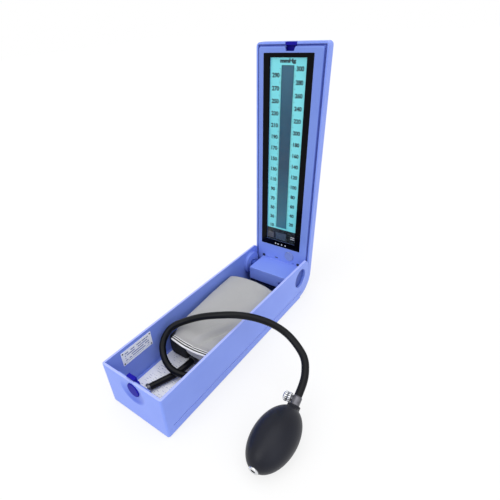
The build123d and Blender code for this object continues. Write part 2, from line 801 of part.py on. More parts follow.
with BuildPart() as circuit_board:
    board_low_z = hinge_z + board_above
    board_top_z = window_top_z + board_over_window
    with BuildSketch(at_depth(board_back_y)):
        with Locations((0, (board_low_z + board_top_z) / 2)):
            RectangleRounded(2 * hollow_half - board_side_gap, board_top_z - board_low_z,
                             board_corner)
    extrude(amount=board_thickness)
    with BuildSketch(at_depth(board_back_y)):
        with Locations((display_x, view_mid_z)):
            with GridLocations(0, chip_pitch, 1, 3):
                Rectangle(chip_width, chip_width)
        with Locations((display_x - small_chip_x, view_bottom_z),
                       (display_x + small_chip_x, view_bottom_z + small_chip_rise)):
            Rectangle(small_chip_width, small_chip_height)
    extrude(amount=-chip_height)
circuit_board.part.label = "circuit_board"
export_step(circuit_board.part, "parts/circuit_board.step")

# Power button with a lip behind the bezel, its return spring and its switch
lip_back_y = bezel_back_y + button_flange
with BuildPart() as power_button:
    with BuildSketch(at_depth(lip_back_y)):
        with Locations((button_x, button_z)):
            Circle(button_radius)
    extrude(amount=lip_back_y - bezel_front_y + button_proud)
    fillet(power_button.faces().sort_by(Axis.Y)[0].edges(), button_round)
    dish_radius = (button_radius**2 + button_dish**2) / (2 * button_dish)
    with Locations((button_x, bezel_front_y - button_proud + button_dish - dish_radius, button_z)):
        Sphere(dish_radius, mode=Mode.SUBTRACT)
    with BuildSketch(at_depth(lip_back_y)):
        with Locations((button_x, button_z)):
            Circle(button_radius + button_lip)
    extrude(amount=button_flange)
power_button.part.label = "power_button"
export_step(power_button.part, "parts/power_button.step")

with BuildPart() as button_switch:
    plunger_y = lip_back_y + button_travel + switch_gap
    with BuildSketch(at_depth(board_front_y)):
        with Locations((button_x, button_z)):
            Rectangle(switch_width, switch_width)
    extrude(amount=(board_front_y - plunger_y) * switch_body_share)
    with BuildSketch(at_depth(board_front_y)):
        with Locations((button_x, button_z)):
            Circle(plunger_radius)
    extrude(amount=board_front_y - plunger_y)
button_switch.part.label = "button_switch"
export_step(button_switch.part, "parts/button_switch.step")

wind_spring("button_spring", button_x, button_z, lip_back_y, board_front_y,
            button_coil_radius, button_wire_radius, button_coil_turns)

# Buzzer behind the sound slot
with BuildPart() as buzzer:
    with BuildSketch(at_depth(bezel_back_y + buzzer_height)):
        with Locations((buzzer_x, buzzer_z)):
            Circle(buzzer_radius)
    extrude(amount=buzzer_height)
    with BuildSketch(at_depth(bezel_back_y)):
        with Locations((buzzer_x, buzzer_z)):
            Circle(buzzer_radius - buzzer_rim)
    extrude(amount=-buzzer_well, mode=Mode.SUBTRACT)
buzzer.part.label = "buzzer"
export_step(buzzer.part, "parts/buzzer.step")

# Battery box: hung on the hinge pins, cut round below so that it turns inside the drum
block_front_y = hinge_y - block_front
block_back_y = bezel_front_y
block_top_z = hinge_z + block_top
block_low_z = hinge_z - block_bottom
block_swing = drum_radius - block_clearance
seat_z = block_top_z - door_thickness
door_hinge_y = block_back_y - door_hinge_inset
door_hinge_z = block_top_z - door_thickness / 2
door_bead = door_thickness / 2
seat_back_y = door_hinge_y + door_bead + door_clearance
bay_back_y = door_hinge_y - door_bead - block_wall
bay_depth = 4 * battery_radius + battery_gap + 2 * battery_clearance
bay_front_y = bay_back_y - bay_depth
bay_mid_y = (bay_front_y + bay_back_y) / 2
bay_half = battery_length / 2 + contact_gap + contact_thickness
cell_z = seat_z - battery_clearance - battery_radius
sensor_back_y = bay_front_y - block_wall
socket_x = block_half - socket_inset
socket_z = hinge_z - socket_below
socket_radius = plug_radius + socket_clearance + socket_wall
with BuildPart() as battery_box:
    with BuildSketch(Plane.YZ.offset(-block_half)):
        with Locations((hinge_y, hinge_z)):
            Circle(block_swing)
        with Locations(((block_front_y + block_back_y) / 2, (block_low_z + block_top_z) / 2)):
            Rectangle(block_back_y - block_front_y, block_top_z - block_low_z,
                      mode=Mode.INTERSECT)
    extrude(amount=block_width)
    fillet(battery_box.edges().filter_by(Axis.Z).group_by(Axis.Y)[0], block_round)
    # Battery bay behind, sensor bay in front, both open at the top under the door
    with BuildSketch(Plane.XY.offset(cell_z - battery_radius)):
        with Locations((0, bay_mid_y)):
            Rectangle(2 * bay_half, bay_depth)
    extrude(amount=block_bottom, mode=Mode.SUBTRACT)
    with BuildSketch(Plane.XY.offset(block_low_z + block_wall)):
        with Locations((0, (block_front_y + block_wall + sensor_back_y) / 2)):
            Rectangle(block_width - 2 * block_wall, sensor_back_y - block_front_y - block_wall)
    extrude(amount=2 * block_bottom, mode=Mode.SUBTRACT)
    # Seat for the door, up to a ledge at the back
    with BuildSketch(Plane.XY.offset(seat_z)):
        with Locations((0, (block_front_y + seat_back_y) / 2)):
            Rectangle(block_width, seat_back_y - block_front_y)
    extrude(amount=door_thickness, mode=Mode.SUBTRACT)
    for side in (-1, 1):
        with BuildSketch(Plane.YZ.offset(side * block_half)):
            with Locations((hinge_y, hinge_z)):
                Circle(pin_radius + pin_clearance)
        extrude(amount=-side * block_wall, mode=Mode.SUBTRACT)
    with BuildSketch(at_depth(block_front_y + block_wall)):
        with Locations((socket_x, socket_z)):
            Circle(socket_radius + socket_clearance)
    extrude(amount=block_wall, mode=Mode.SUBTRACT)
battery_box.part.label = "battery_box"
export_step(battery_box.part, "parts/battery_box.step")

# Battery door: the whole top panel, which lifts about its round rear edge
with BuildPart() as battery_door:
    with BuildSketch(Plane.XY.offset(seat_z)):
        with Locations((0, (block_front_y + door_hinge_y) / 2)):
            Rectangle(block_width, door_hinge_y - block_front_y)
    extrude(amount=door_thickness)
    fillet(battery_door.edges().filter_by(Axis.Z).group_by(Axis.Y)[0], block_round)
    top_edges = battery_door.faces().filter_by(Axis.Z).sort_by(Axis.Z)[-1].edges()
    fillet(top_edges.sort_by(Axis.Y)[:-1], door_round)
    with BuildSketch(Plane.YZ.offset(-block_half)):
        with Locations((door_hinge_y, door_hinge_z)):
            Circle(door_bead)
    extrude(amount=block_width)
battery_door.part.label = "battery_door"
export_step(battery_door.part, "parts/battery_door.step")

# Two cells side by side, and their contacts
cell_offset = battery_radius + battery_gap / 2
with BuildPart() as batteries:
    with BuildSketch(Plane.YZ.offset(-battery_length / 2)):
        with Locations((bay_mid_y - cell_offset, cell_z), (bay_mid_y + cell_offset, cell_z)):
            Circle(battery_radius)
    extrude(amount=battery_length - battery_cap_height)
    with BuildSketch(Plane.YZ.offset(battery_length / 2)):
        with Locations((bay_mid_y - cell_offset, cell_z), (bay_mid_y + cell_offset, cell_z)):
            Circle(battery_cap_radius)
    extrude(amount=-battery_cap_height)
batteries.part.label = "batteries"
export_step(batteries.part, "parts/batteries.step")

with BuildPart() as battery_contacts:
    strip_x = bay_half - contact_thickness
    for side in (-1, 1):
        with BuildSketch(Plane.YZ.offset(side * strip_x)):
            with Locations((bay_mid_y, cell_z)):
                Rectangle(2 * cell_offset + battery_radius, battery_radius)
        extrude(amount=side * contact_thickness)
        with BuildSketch(Plane.YZ.offset(side * strip_x)):
            with Locations((bay_mid_y - cell_offset, cell_z), (bay_mid_y + cell_offset, cell_z)):
                Circle(contact_radius)
        extrude(amount=-side * contact_gap)
battery_contacts.part.label = "battery_contacts"
export_step(battery_contacts.part, "parts/battery_contacts.step")

# Air socket, flush with the front of the box, and the sensor behind it
socket_back_y = block_front_y + socket_depth + socket_back
with BuildPart() as air_socket:
    with BuildSketch(at_depth(socket_back_y)):
        with Locations((socket_x, socket_z)):
            Circle(socket_radius)
    extrude(amount=socket_back_y - block_front_y)
    with BuildSketch(at_depth(block_front_y + block_wall + socket_flange)):
        with Locations((socket_x, socket_z)):
            Circle(socket_radius + socket_wall)
    extrude(amount=socket_flange)
    with BuildSketch(at_depth(block_front_y + socket_depth)):
        with Locations((socket_x, socket_z)):
            Circle(plug_radius + socket_clearance)
    extrude(amount=socket_depth, mode=Mode.SUBTRACT)
air_socket.part.label = "air_socket"
export_step(air_socket.part, "parts/air_socket.step")

with BuildPart() as pressure_sensor:
    with BuildSketch(at_depth(sensor_back_y)):
        with Locations((socket_x - sensor_shift, socket_z)):
            Rectangle(sensor_width, sensor_height)
    extrude(amount=sensor_base)
    with BuildSketch(at_depth(sensor_back_y)):
        with Locations((socket_x, socket_z)):
            Rectangle(sensor_port, sensor_port)
    extrude(amount=sensor_back_y - socket_back_y)
pressure_sensor.part.label = "pressure_sensor"
export_step(pressure_sensor.part, "parts/pressure_sensor.step")

# Leaflet on the tray floor and the plate on the inner left wall
with BuildPart() as leaflet:
    leaflet_front_y = housing_back_y + leaflet_gap
    leaflet_rear_y = cuff_front_y - leaflet_gap
    with BuildSketch(Plane.XY.offset(floor_height)):
        with Locations((0, (leaflet_front_y + leaflet_rear_y) / 2)):
            Rectangle(2 * (inner_half - 2 * leaflet_gap), leaflet_rear_y - leaflet_front_y)
    extrude(amount=leaflet_thickness)
leaflet.part.label = "leaflet"
export_step(leaflet.part, "parts/leaflet.step")

with BuildPart() as wall_plate:
    with BuildSketch(Plane.YZ.offset(-inner_half)):
        with Locations((front_y + plate_setback + plate_length / 2, rim_height - plate_below)):
            RectangleRounded(plate_length, plate_height, plate_corner)
    extrude(amount=plate_thickness)
wall_plate.part.label = "wall_plate"
export_step(wall_plate.part, "parts/wall_plate.step")

# Cuff: a folded stack with a crowned top and a front flap, hollow round its bladder
cuff_half = inner_half - cuff_side_gap
cuff_mid_y = (cuff_front_y + cuff_rear_y) / 2
cuff_top_z = floor_height + cuff_height
nozzle_z = floor_height + nozzle_above
bladder_front_y = cuff_front_y + bladder_inset
bladder_rear_y = cuff_rear_y - bladder_inset
bladder_mid_y = (bladder_front_y + bladder_rear_y) / 2
with BuildPart() as cuff:
    with BuildSketch(Plane.YZ.offset(-cuff_half)):
        with BuildLine():
            front_foot = (cuff_front_y + cuff_foot_inset, floor_height)
            rear_foot = (cuff_rear_y - cuff_foot_inset, floor_height)
            rear_top = (cuff_rear_y - cuff_rear_lean, cuff_top_z - cuff_rear_drop)
            front_top = (cuff_front_y + cuff_front_lean, cuff_top_z - cuff_front_drop)
            Line(front_foot, rear_foot)
            ThreePointArc(rear_foot, (cuff_rear_y, (floor_height + rear_top[1]) / 2), rear_top)
            ThreePointArc(rear_top, (cuff_mid_y, cuff_top_z), front_top)
            ThreePointArc(front_top, (cuff_front_y, (floor_height + front_top[1]) / 2),
                          front_foot)
        make_face()
    extrude(amount=2 * cuff_half)
    with BuildSketch(Plane.XY.offset(floor_height)):
        with Locations((0, cuff_mid_y)):
            RectangleRounded(2 * cuff_half, cuff_rear_y - cuff_front_y, cuff_corner)
    extrude(amount=2 * cuff_height, mode=Mode.INTERSECT)
    fillet(cuff.faces().sort_by(Axis.Z)[-1].edges(), cuff_round)
    # The flap lies a little askew, with its left corner drawn back
    flap_top_z = cuff_top_z - flap_below + flap_thickness
    flap_y = cuff_front_y - flap_reach
    with BuildSketch(Plane.XY.offset(flap_top_z - flap_thickness)):
        with BuildLine():
            flap_root_y = cuff_front_y + flap_root
            Polyline((-cuff_half + flap_root_inset, flap_root_y),
                     (-cuff_half + flap_shoulder_inset, cuff_front_y + cuff_front_lean),
                     (-cuff_half + flap_left_inset, flap_y),
                     (cuff_half - flap_right_inset, flap_y + flap_skew),
                     (cuff_half - flap_right_root_inset, flap_root_y), close=True)
        make_face()
        fillet(vertices().group_by(Axis.Y)[0], flap_corner)
    extrude(amount=flap_thickness)
    # Space for the bladder, with a way out for its two nozzles
    with Locations((0, bladder_mid_y, nozzle_z)):
        Box(bladder_width + 2 * bladder_clearance, bladder_rear_y - bladder_front_y
            + 2 * bladder_clearance, bladder_thickness + 2 * bladder_clearance,
            mode=Mode.SUBTRACT)
    with BuildSketch(at_depth(bladder_front_y)):
        with Locations((nozzle_x, nozzle_z)):
            Circle(nozzle_radius + bladder_clearance)
        with Locations((stub_x, nozzle_z)):
            Circle(stub_radius + bladder_clearance)
    extrude(amount=2 * bladder_inset, mode=Mode.SUBTRACT)
cuff.part.label = "cuff"
export_step(cuff.part, "parts/cuff.step")

with BuildPart() as cuff_bladder:
    with Locations((0, bladder_mid_y, nozzle_z)):
        Box(bladder_width, bladder_rear_y - bladder_front_y, bladder_thickness)
    fillet(cuff_bladder.edges().filter_by(Axis.Z), bladder_corner)
    fillet(cuff_bladder.faces().filter_by(Axis.Z).edges(), bladder_round)
    nozzle_end_y = cuff_front_y - nozzle_reach
    stub_end_y = cuff_front_y - stub_reach
    with BuildSketch(at_depth(bladder_front_y)):
        with Locations((nozzle_x, nozzle_z)):
            Circle(nozzle_radius)
    extrude(amount=bladder_front_y - nozzle_end_y)
    with BuildSketch(at_depth(bladder_front_y)):
        with Locations((stub_x, nozzle_z)):
            Circle(stub_radius)
    extrude(amount=bladder_front_y - stub_end_y)
    fillet(cuff_bladder.faces().sort_by(Axis.Y)[0].edges(), nozzle_round)
cuff_bladder.part.label = "cuff_bladder"
export_step(cuff_bladder.part, "parts/cuff_bladder.step")


def make_hose(name, route, radius):
    # Straight runs joined by arcs as large as the two runs allow
    corners = [Vector(*point) for point in route]
    radii = []
    for before, corner, after in zip(corners, corners[1:], corners[2:]):
        half_turn = radians((corner - before).get_angle(after - corner)) / 2
        run = min((corner - before).length, (after - corner).length)
        radii.append(bend_share * run / tan(half_turn))
    with BuildPart() as hose:
        with BuildLine() as path:
            FilletPolyline(*corners, radius=radii)
        with BuildSketch(Plane(origin=corners[0], z_dir=corners[1] - corners[0])):
            Circle(radius)
        sweep(path=path.wires()[0])
    hose.part.label = name
    export_step(hose.part, f"parts/{name}.step")
    length = path.wires()[0].length
    fill = hose.part.volume / (length * pi * radius**2)
    print(name, "length", round(length, 1), "volume ratio", round(fill, 4),
          "radii", [round(value) for value in radii])


# Gauge hose from the cuff, with its ferrule and the plug for the air socket
gauge_route = [(nozzle_x, nozzle_end_y, nozzle_z), (2, -90, 16), (-4, -108, 12.3),
               (-11, -125, 11.9), (-16, -139, 11.9)]
make_hose("gauge_hose", gauge_route, hose_radius)


def turning_plane(origin, along):
    # Plane for the profile of a turned piece: X is the radius, Y runs along the axis
    radial = along.cross(Vector(0, 0, 1)).normalized()
    return Plane(origin=origin, x_dir=radial, z_dir=radial.cross(along))


ferrule_start = Vector(*gauge_route[-1])
plug_along = (ferrule_start - Vector(*gauge_route[-2])).normalized()
with BuildPart() as hose_ferrule:
    with BuildSketch(Plane(origin=ferrule_start, z_dir=plug_along)):
        Circle(ferrule_radius)
    extrude(amount=ferrule_length)
    fillet(hose_ferrule.edges().filter_by(GeomType.CIRCLE), ferrule_round)
hose_ferrule.part.label = "hose_ferrule"
export_step(hose_ferrule.part, "parts/hose_ferrule.step")

plug_start = ferrule_start + plug_along * ferrule_length
with BuildPart() as hose_plug:
    with BuildSketch(turning_plane(plug_start, plug_along)):
        with BuildLine():
            waist = plug_radius - plug_waist_depth
            shoulder = plug_length - socket_depth
            Polyline((0, 0), (plug_radius, 0), (plug_radius, shoulder - plug_waist_reach),
                     (waist, shoulder - plug_waist_half), (waist, shoulder + plug_waist_half),
                     (plug_radius, shoulder + plug_waist_reach),
                     (plug_radius, plug_length - plug_taper),
                     (plug_bore + plug_lip, plug_length), (plug_bore, plug_length),
                     (plug_bore, plug_length - socket_depth), (0, plug_length - socket_depth),
                     close=True)
        make_face()
    revolve(axis=Axis(plug_start, plug_along))
hose_plug.part.label = "hose_plug"
export_step(hose_plug.part, "parts/hose_plug.step")

# Bulb: an egg of rubber lying on the table, its neck bent up towards the hose
tilt = radians(bulb_tilt)
bulb_z = sqrt((bulb_radius * cos(tilt))**2 + (bulb_half_length * sin(tilt))**2)
bulb_centre = Vector(bulb_x, bulb_y, bulb_z)
bulb_along = Vector(0, cos(tilt), sin(tilt))
lean = radians(valve_lean)
turn = radians(valve_turn)
valve_along = Vector(-sin(turn) * cos(lean), cos(turn) * cos(lean), sin(lean))
neck_root = bulb_centre + bulb_along * (bulb_half_length - neck_sink)
neck_end = neck_root + valve_along * neck_length
inlet_seat = bulb_half_length - inlet_sink
with BuildPart() as bulb:
    with BuildSketch(turning_plane(bulb_centre, bulb_along)):
        with BuildLine():
            inlet_angle = -degrees(asin(inlet_seat / bulb_half_length))
            egg = EllipticalCenterArc((0, 0), bulb_radius, bulb_half_length, inlet_angle,
                                      arc_size=90 - inlet_angle)
            Polyline(egg @ 1, (0, -inlet_seat), egg @ 0)
        make_face()
    revolve(axis=Axis(bulb_centre, bulb_along))
    with BuildSketch(Plane(origin=neck_root - valve_along * 2 * bulb_wall, z_dir=valve_along)):
        Circle(neck_radius)
    extrude(amount=neck_length + 2 * bulb_wall)
    fillet(bulb.edges().filter_by(GeomType.BSPLINE), neck_fillet)
    with BuildSketch(turning_plane(bulb_centre, bulb_along)):
        Ellipse(bulb_radius - bulb_wall, bulb_half_length - bulb_wall)
        Rectangle(bulb_radius, 2 * bulb_half_length, align=(Align.MIN, Align.CENTER),
                  mode=Mode.INTERSECT)
        with Locations((0, -bulb_half_length)):
            Rectangle(inlet_spigot, bulb_half_length, align=(Align.MIN, Align.MIN))
    revolve(axis=Axis(bulb_centre, bulb_along), mode=Mode.SUBTRACT)
    with BuildSketch(Plane(origin=neck_end, z_dir=-valve_along)):
        Circle(neck_bore)
    extrude(amount=neck_length + 2 * bulb_wall, mode=Mode.SUBTRACT)
bulb.part.label = "bulb"
export_step(bulb.part, "parts/bulb.step")

# Release valve between neck and hose, with the cross boss for its screw
valve_end = neck_end + valve_along * valve_length
stem_along = (Vector(-1, 0, 0) - valve_along * valve_along.dot(Vector(-1, 0, 0))).normalized()
stem_root = neck_end + valve_along * (knob_radius + knob_clearance)
with BuildPart() as release_valve:
    with BuildSketch(turning_plane(neck_end, valve_along)):
        with BuildLine():
            Polyline((0, -valve_spigot), (neck_bore - valve_lead, -valve_spigot),
                     (neck_bore, valve_lead - valve_spigot), (neck_bore, 0), (valve_radius, 0),
                     (valve_radius, valve_length - valve_taper),
                     (hose_radius + valve_lip, valve_length), (0, valve_length), close=True)
        make_face()
    revolve(axis=Axis(neck_end, valve_along))
    with BuildSketch(Plane(origin=stem_root, z_dir=stem_along)):
        Circle(stem_boss_radius)
    extrude(amount=stem_boss_height)
    with BuildSketch(Plane(origin=stem_root, z_dir=stem_along)):
        Circle(stem_radius + pin_clearance)
    extrude(amount=stem_boss_height, mode=Mode.SUBTRACT)
release_valve.part.label = "release_valve"
export_step(release_valve.part, "parts/release_valve.step")

# Knurled release knob with its screw, which turns in the boss
with BuildPart() as release_knob:
    knob_start = stem_root + stem_along * (stem_boss_height + pin_clearance)
    with BuildSketch(Plane(origin=knob_start, z_dir=stem_along)) as knurl:
        Circle(knob_radius)
        with PolarLocations(knob_radius + knob_groove_out, knob_grooves):
            Circle(knob_groove_radius, mode=Mode.SUBTRACT)
    extrude(amount=knob_length)
    with BuildSketch(Plane(origin=knob_start, z_dir=stem_along)):
        Circle(knob_radius - knob_face_step)
    extrude(amount=knob_length + knob_face_height)
    with BuildSketch(Plane(origin=stem_root + stem_along * stem_tip, z_dir=stem_along)):
        Circle(stem_radius)
    extrude(amount=stem_boss_height)
release_knob.part.label = "release_knob"
export_step(release_knob.part, "parts/release_knob.step")

# Inlet valve at the bulb's other end, with its rubber flap inside
inlet_along = -bulb_along
inlet_face = bulb_centre + inlet_along * (inlet_seat + inlet_flange)
with BuildPart() as inlet_valve:
    with BuildSketch(turning_plane(inlet_face, bulb_along)):
        with BuildLine():
            Polyline((inlet_bore + inlet_mouth, 0), (inlet_radius - inlet_edge, 0),
                     (inlet_radius, inlet_edge), (inlet_radius, inlet_flange),
                     (inlet_spigot, inlet_flange), (inlet_spigot, inlet_reach),
                     (inlet_bore, inlet_reach), (inlet_bore, inlet_mouth), close=True)
        make_face()
    revolve(axis=Axis(inlet_face, bulb_along))
inlet_valve.part.label = "inlet_valve"
export_step(inlet_valve.part, "parts/inlet_valve.step")

with BuildPart() as inlet_flap:
    with BuildSketch(Plane(origin=inlet_face + bulb_along * inlet_reach, z_dir=bulb_along)):
        Circle(inlet_spigot - inlet_flap_clearance)
    extrude(amount=inlet_flap_thickness)
inlet_flap.part.label = "inlet_flap"
export_step(inlet_flap.part, "parts/inlet_flap.step")

# Bulb hose: out of the cuff, round in a loop, over the side wall and down to the valve
bulb_route = [(stub_x, stub_end_y, nozzle_z), (29, -84, 16), (18, -102, 18), (-3, -110, 23.5),
              (-25, -102, 28), (-36, -90, 42), (-33, -73, 57), (-14, -61, 68), (7, -53, 79),
              (28, -46, 86), (48, -36, 89), (68, -25, 86), (87, -15, 78), (106, -12, 69.5),
              (123, -16.5, 62), (138, -25, 56), (146.5, -39.5, 49),
              tuple(valve_end + valve_along * hose_lead), tuple(valve_end)]
make_hose("bulb_hose", bulb_route, hose_radius)
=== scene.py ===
import math

import bmesh
import bpy
import numpy as np
from mathutils import Matrix, Vector


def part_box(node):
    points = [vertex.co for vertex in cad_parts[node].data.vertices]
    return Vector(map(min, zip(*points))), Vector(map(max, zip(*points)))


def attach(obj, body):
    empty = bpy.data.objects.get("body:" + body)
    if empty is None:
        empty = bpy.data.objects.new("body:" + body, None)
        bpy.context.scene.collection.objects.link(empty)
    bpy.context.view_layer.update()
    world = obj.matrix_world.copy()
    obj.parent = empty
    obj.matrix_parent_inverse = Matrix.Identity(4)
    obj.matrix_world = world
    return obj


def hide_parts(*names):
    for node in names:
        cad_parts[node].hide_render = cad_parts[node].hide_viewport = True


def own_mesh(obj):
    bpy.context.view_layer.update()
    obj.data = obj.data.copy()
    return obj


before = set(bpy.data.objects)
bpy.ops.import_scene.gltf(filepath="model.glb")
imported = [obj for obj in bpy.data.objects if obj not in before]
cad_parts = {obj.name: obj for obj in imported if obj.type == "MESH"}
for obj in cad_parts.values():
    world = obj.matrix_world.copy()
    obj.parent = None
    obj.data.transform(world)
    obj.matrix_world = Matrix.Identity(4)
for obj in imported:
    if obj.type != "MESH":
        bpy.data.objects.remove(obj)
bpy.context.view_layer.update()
scene = bpy.context.scene
scene.view_settings.view_transform = "Standard"
mm = 0.001
grainDepth = 0.1 * mm   # how far bumps rise where a finish names no depth of its own
print("frame loaded")


def addObject(name, data):
    thing = bpy.data.objects.new(name, data)
    scene.collection.objects.link(thing)
    return thing


def dress(data, finish):
    # Gives a mesh or a curve the finish of this name, and no other
    data.materials.clear()
    data.materials.append(bpy.data.materials[finish])


# Shader building. A Wire is one node output, and arithmetic on it adds Math nodes.
def mathsOf(operation, turned=False):
    # A method of Wire that adds one Math node; turned puts the wire second
    def combine(self, other=0.0):
        first, second = (other, self) if turned else (self, other)
        return self.nodes.add("ShaderNodeMath", {"operation": operation}, {0: first, 1: second})

    return combine


class Wire:
    def __init__(self, nodes, socket):
        self.nodes = nodes
        self.socket = socket

    __add__ = mathsOf("ADD")
    __radd__ = mathsOf("ADD", turned=True)
    __sub__ = mathsOf("SUBTRACT")
    __rsub__ = mathsOf("SUBTRACT", turned=True)
    __mul__ = mathsOf("MULTIPLY")
    __rmul__ = mathsOf("MULTIPLY", turned=True)
    __gt__ = mathsOf("GREATER_THAN")
    __lt__ = mathsOf("LESS_THAN")
    __mod__ = mathsOf("FLOORED_MODULO")
    size = mathsOf("ABSOLUTE")
    wave = mathsOf("SINE")
    floor = mathsOf("FLOOR")
    most = mathsOf("MAXIMUM")
    least = mathsOf("MINIMUM")

    def share(self):
        return self.most(0.0).least(1.0)


def paint(red, green, blue):
    # A screen colour from 0 to 255 as the linear colour that the shader takes
    values = np.array([red, green, blue]) / 255
    linear = np.where(values <= 0.04045, values / 12.92, ((values + 0.055) / 1.055) ** 2.4)
    return (*[float(v) for v in linear], 1.0)


class NodeSet:
    # Nodes of a material or of the world
    def __init__(self, owner):
        owner.use_nodes = True
        self.tree = owner.node_tree

    def add(self, kind, settings, inputs, output=0):
        node = self.tree.nodes.new(kind)
        for name, value in settings.items():
            if name == "stops":
                ramp = node.color_ramp
                while len(ramp.elements) < len(value):
                    ramp.elements.new(0.5)
                for element, (position, colour) in zip(ramp.elements, value):
                    element.position = position
                    element.color = colour
            else:
                setattr(node, name, value)
        for name, value in inputs.items():
            self.feed(node.inputs[name], value)
        return Wire(self, node.outputs[output])

    def feed(self, socket, value):
        if isinstance(value, Wire):
            self.tree.links.new(value.socket, socket)
        else:
            socket.default_value = value

    def unlit(self):
        # 1 for rays from the camera and for those that metal and glass send on, else 0
        seen, mirrored, through = [self.add("ShaderNodeLightPath", {}, {}, name) for name in
                                   ("Is Camera Ray", "Is Glossy Ray", "Is Transmission Ray")]
        return seen.most(mirrored).most(through)


class Finish(NodeSet):
    def __init__(self, name):
        super().__init__(bpy.data.materials.new(name))
        self.shader = self.tree.nodes["Principled BSDF"]
        self.place = self.add("ShaderNodeTexCoord", {}, {}, "Object")

    def set(self, values):
        for name, value in values.items():
            self.feed(self.shader.inputs[name], value)

    def axes(self, names="XYZ"):
        return [self.add("ShaderNodeSeparateXYZ", {}, {0: self.place}, name) for name in names]

    def vectors(self, operation, first, second, output=0):
        return self.add("ShaderNodeVectorMath", {"operation": operation}, {0: first, 1: second},
                        output)

    def noise(self, perMetre, detail=2.0, stretch=(1, 1, 1)):
        spread = self.vectors("MULTIPLY", self.place, stretch)
        return self.add("ShaderNodeTexNoise", {}, {"Vector": spread, "Scale": perMetre,
                                                   "Detail": detail})

    def blend(self, share, *tones):
        # Mixes two tones, each a wire or a screen colour, by the share of the second
        first, second = [tone if isinstance(tone, Wire) else paint(*tone) for tone in tones]
        return self.add("ShaderNodeMix", {"data_type": "RGBA", "clamp_factor": True},
                        {0: share, 6: first, 7: second}, 2)

    def grainy(self, look):
        return look["roughness"] + look["grainSwing"] * self.noise(look["grainScale"])

    def bumps(self, height, strength, distance=grainDepth, **more):
        return self.add("ShaderNodeBump", {}, {"Height": height, "Strength": strength,
                                               "Distance": distance, **more})

    def within(self, value, middle, half):
        return (value - mm * middle).size() < mm * half

    def inBox(self, first, second, middle, half):
        return self.within(first, middle[0], half[0]) * self.within(second, middle[1], half[1])


def shadeHollow(finish, base, look):
    # Painted shade in the round hollow round the push button: it fades out from the middle of
    # the hollow, and is deepest at the lower edge
    x, y, z = finish.axes()
    across = (x - look["hollow"][0]) * (1 / look["hollowReach"])
    up = (z - look["hollow"][2]) * (1 / look["hollowReach"])
    inside = ((1 - (across * across + up * up)) * look["hollowEdge"]).share()
    low = (look["hollowLevel"] - look["hollowFall"] * up).most(0.0) * (y < look["hollow"][1])
    return finish.blend(inside * low * look["hollowShade"], base, look["hollowColour"])


def shadeGroove(finish, base, look):
    # Painted shade in the groove round the raised panel, and painted light that makes the bezel
    # paler at its foot
    x, z = finish.axes("XZ")
    beyond = (x.size() - look["grooveHalf"]).most(z - look["grooveTop"])
    grooveShadeMask = (beyond * (1 / look["grooveWidth"]) + look["grooveStart"]).share()
    foot = ((look["footTop"] - z) * (1 / look["footReach"])).share()
    base = finish.blend(foot * look["footShare"], base, look["footColour"])
    return finish.blend(grooveShadeMask * look["grooveShade"], base, look["grooveColour"])


def shadeRim(finish, base, look):
    # A painted highlight makes the rim's top paler than the walls, and painted shade darkens the
    # well at the drum
    x, y, z = finish.axes()
    base = finish.blend((z > look["rimHeight"]) * look["rimShare"], base, look["rimColour"])
    well = (y > look["wellFrom"]) * (z < look["wellTop"]) * (x.size() < look["wellHalf"])
    return finish.blend(well * look["wellShare"], base, look["wellColour"])


plasticMarks = {"cloudScale": 28.0, "grainScale": 2600.0, "grainSwing": 0.12, "edge": 0.0006,
                "edgeSamples": 4, "wear": 2.2, "wearScale": 190.0, "shine": 0.45}


def mouldedPlastic(name, look):
    # Body colour with slow cloudiness, fine spark grain, and edges rubbed a little paler
    look = {**plasticMarks, **look}
    finish = Finish(name)
    cloud = finish.noise(look["cloudScale"])
    grain = finish.noise(look["grainScale"])
    base = finish.blend(cloud, look["dark"], look["light"])
    rounded = finish.add("ShaderNodeBevel", {"samples": look["edgeSamples"]},
                         {"Radius": look["edge"]})
    flat = finish.add("ShaderNodeNewGeometry", {}, {}, "Normal")
    facing = finish.vectors("DOT_PRODUCT", rounded, flat, "Value")
    rubbed = (1 - facing) * look["wear"] * (0.5 + finish.noise(look["wearScale"]))
    # Painted light and shade where a look asks for them: the hollow, the groove and foot, the rim
    # and well
    for mark, shade in (("hollow", shadeHollow), ("grooveHalf", shadeGroove),
                        ("rimHeight", shadeRim)):
        if mark in look:
            base = shade(finish, base, look)
    finish.set({
        "Base Color": finish.blend(rubbed, base, look["rubbed"]),
        "Roughness": look["roughness"] + look["grainSwing"] * (grain - 0.5),
        "Normal": finish.bumps(grain, look["grain"], Normal=rounded),
        "Specular IOR Level": look["shine"],
    })


metalMarks = {"lineScale": 900.0, "lineDetail": 3.0, "stretch": (1, 0.05, 1), "lineSwing": 0.16,
              "lineRelief": 0.12, "tarnishScale": 220.0}


def metalFinish(name, look):
    # Metal with fine drawn lines along one direction and slight tarnish
    look = {**metalMarks, **look}
    finish = Finish(name)
    lines = finish.noise(look["lineScale"], look["lineDetail"], look["stretch"])
    base = finish.blend(finish.noise(look["tarnishScale"]), look["dark"], look["light"])
    metal = 1.0
    if "boreRadius" in look:
        # No light comes back from a narrow bore: black within its radius of its axis
        away = finish.vectors("SUBTRACT", finish.place, look["boreStart"])
        along = finish.vectors("DOT_PRODUCT", away, look["boreAlong"], "Value")
        fromStart = finish.vectors("DOT_PRODUCT", away, away, "Value")
        bore = fromStart - along * along < look["boreRadius"] ** 2
        base = finish.blend(bore, base, look["boreColour"])
        metal = 1 - bore
    finish.set({
        "Base Color": base,
        "Metallic": metal,
        "Roughness": look["roughness"] + look["lineSwing"] * (lines - 0.5),
        "Normal": finish.bumps(lines, look["lineRelief"]),
    })


rubberMarks = {"bloomScale": 60.0, "bloomDetail": 4.0, "bloomSwing": 0.2, "poreScale": 3200.0,
               "pores": 0.12, "shine": 0.4, "sheen": 0.1}


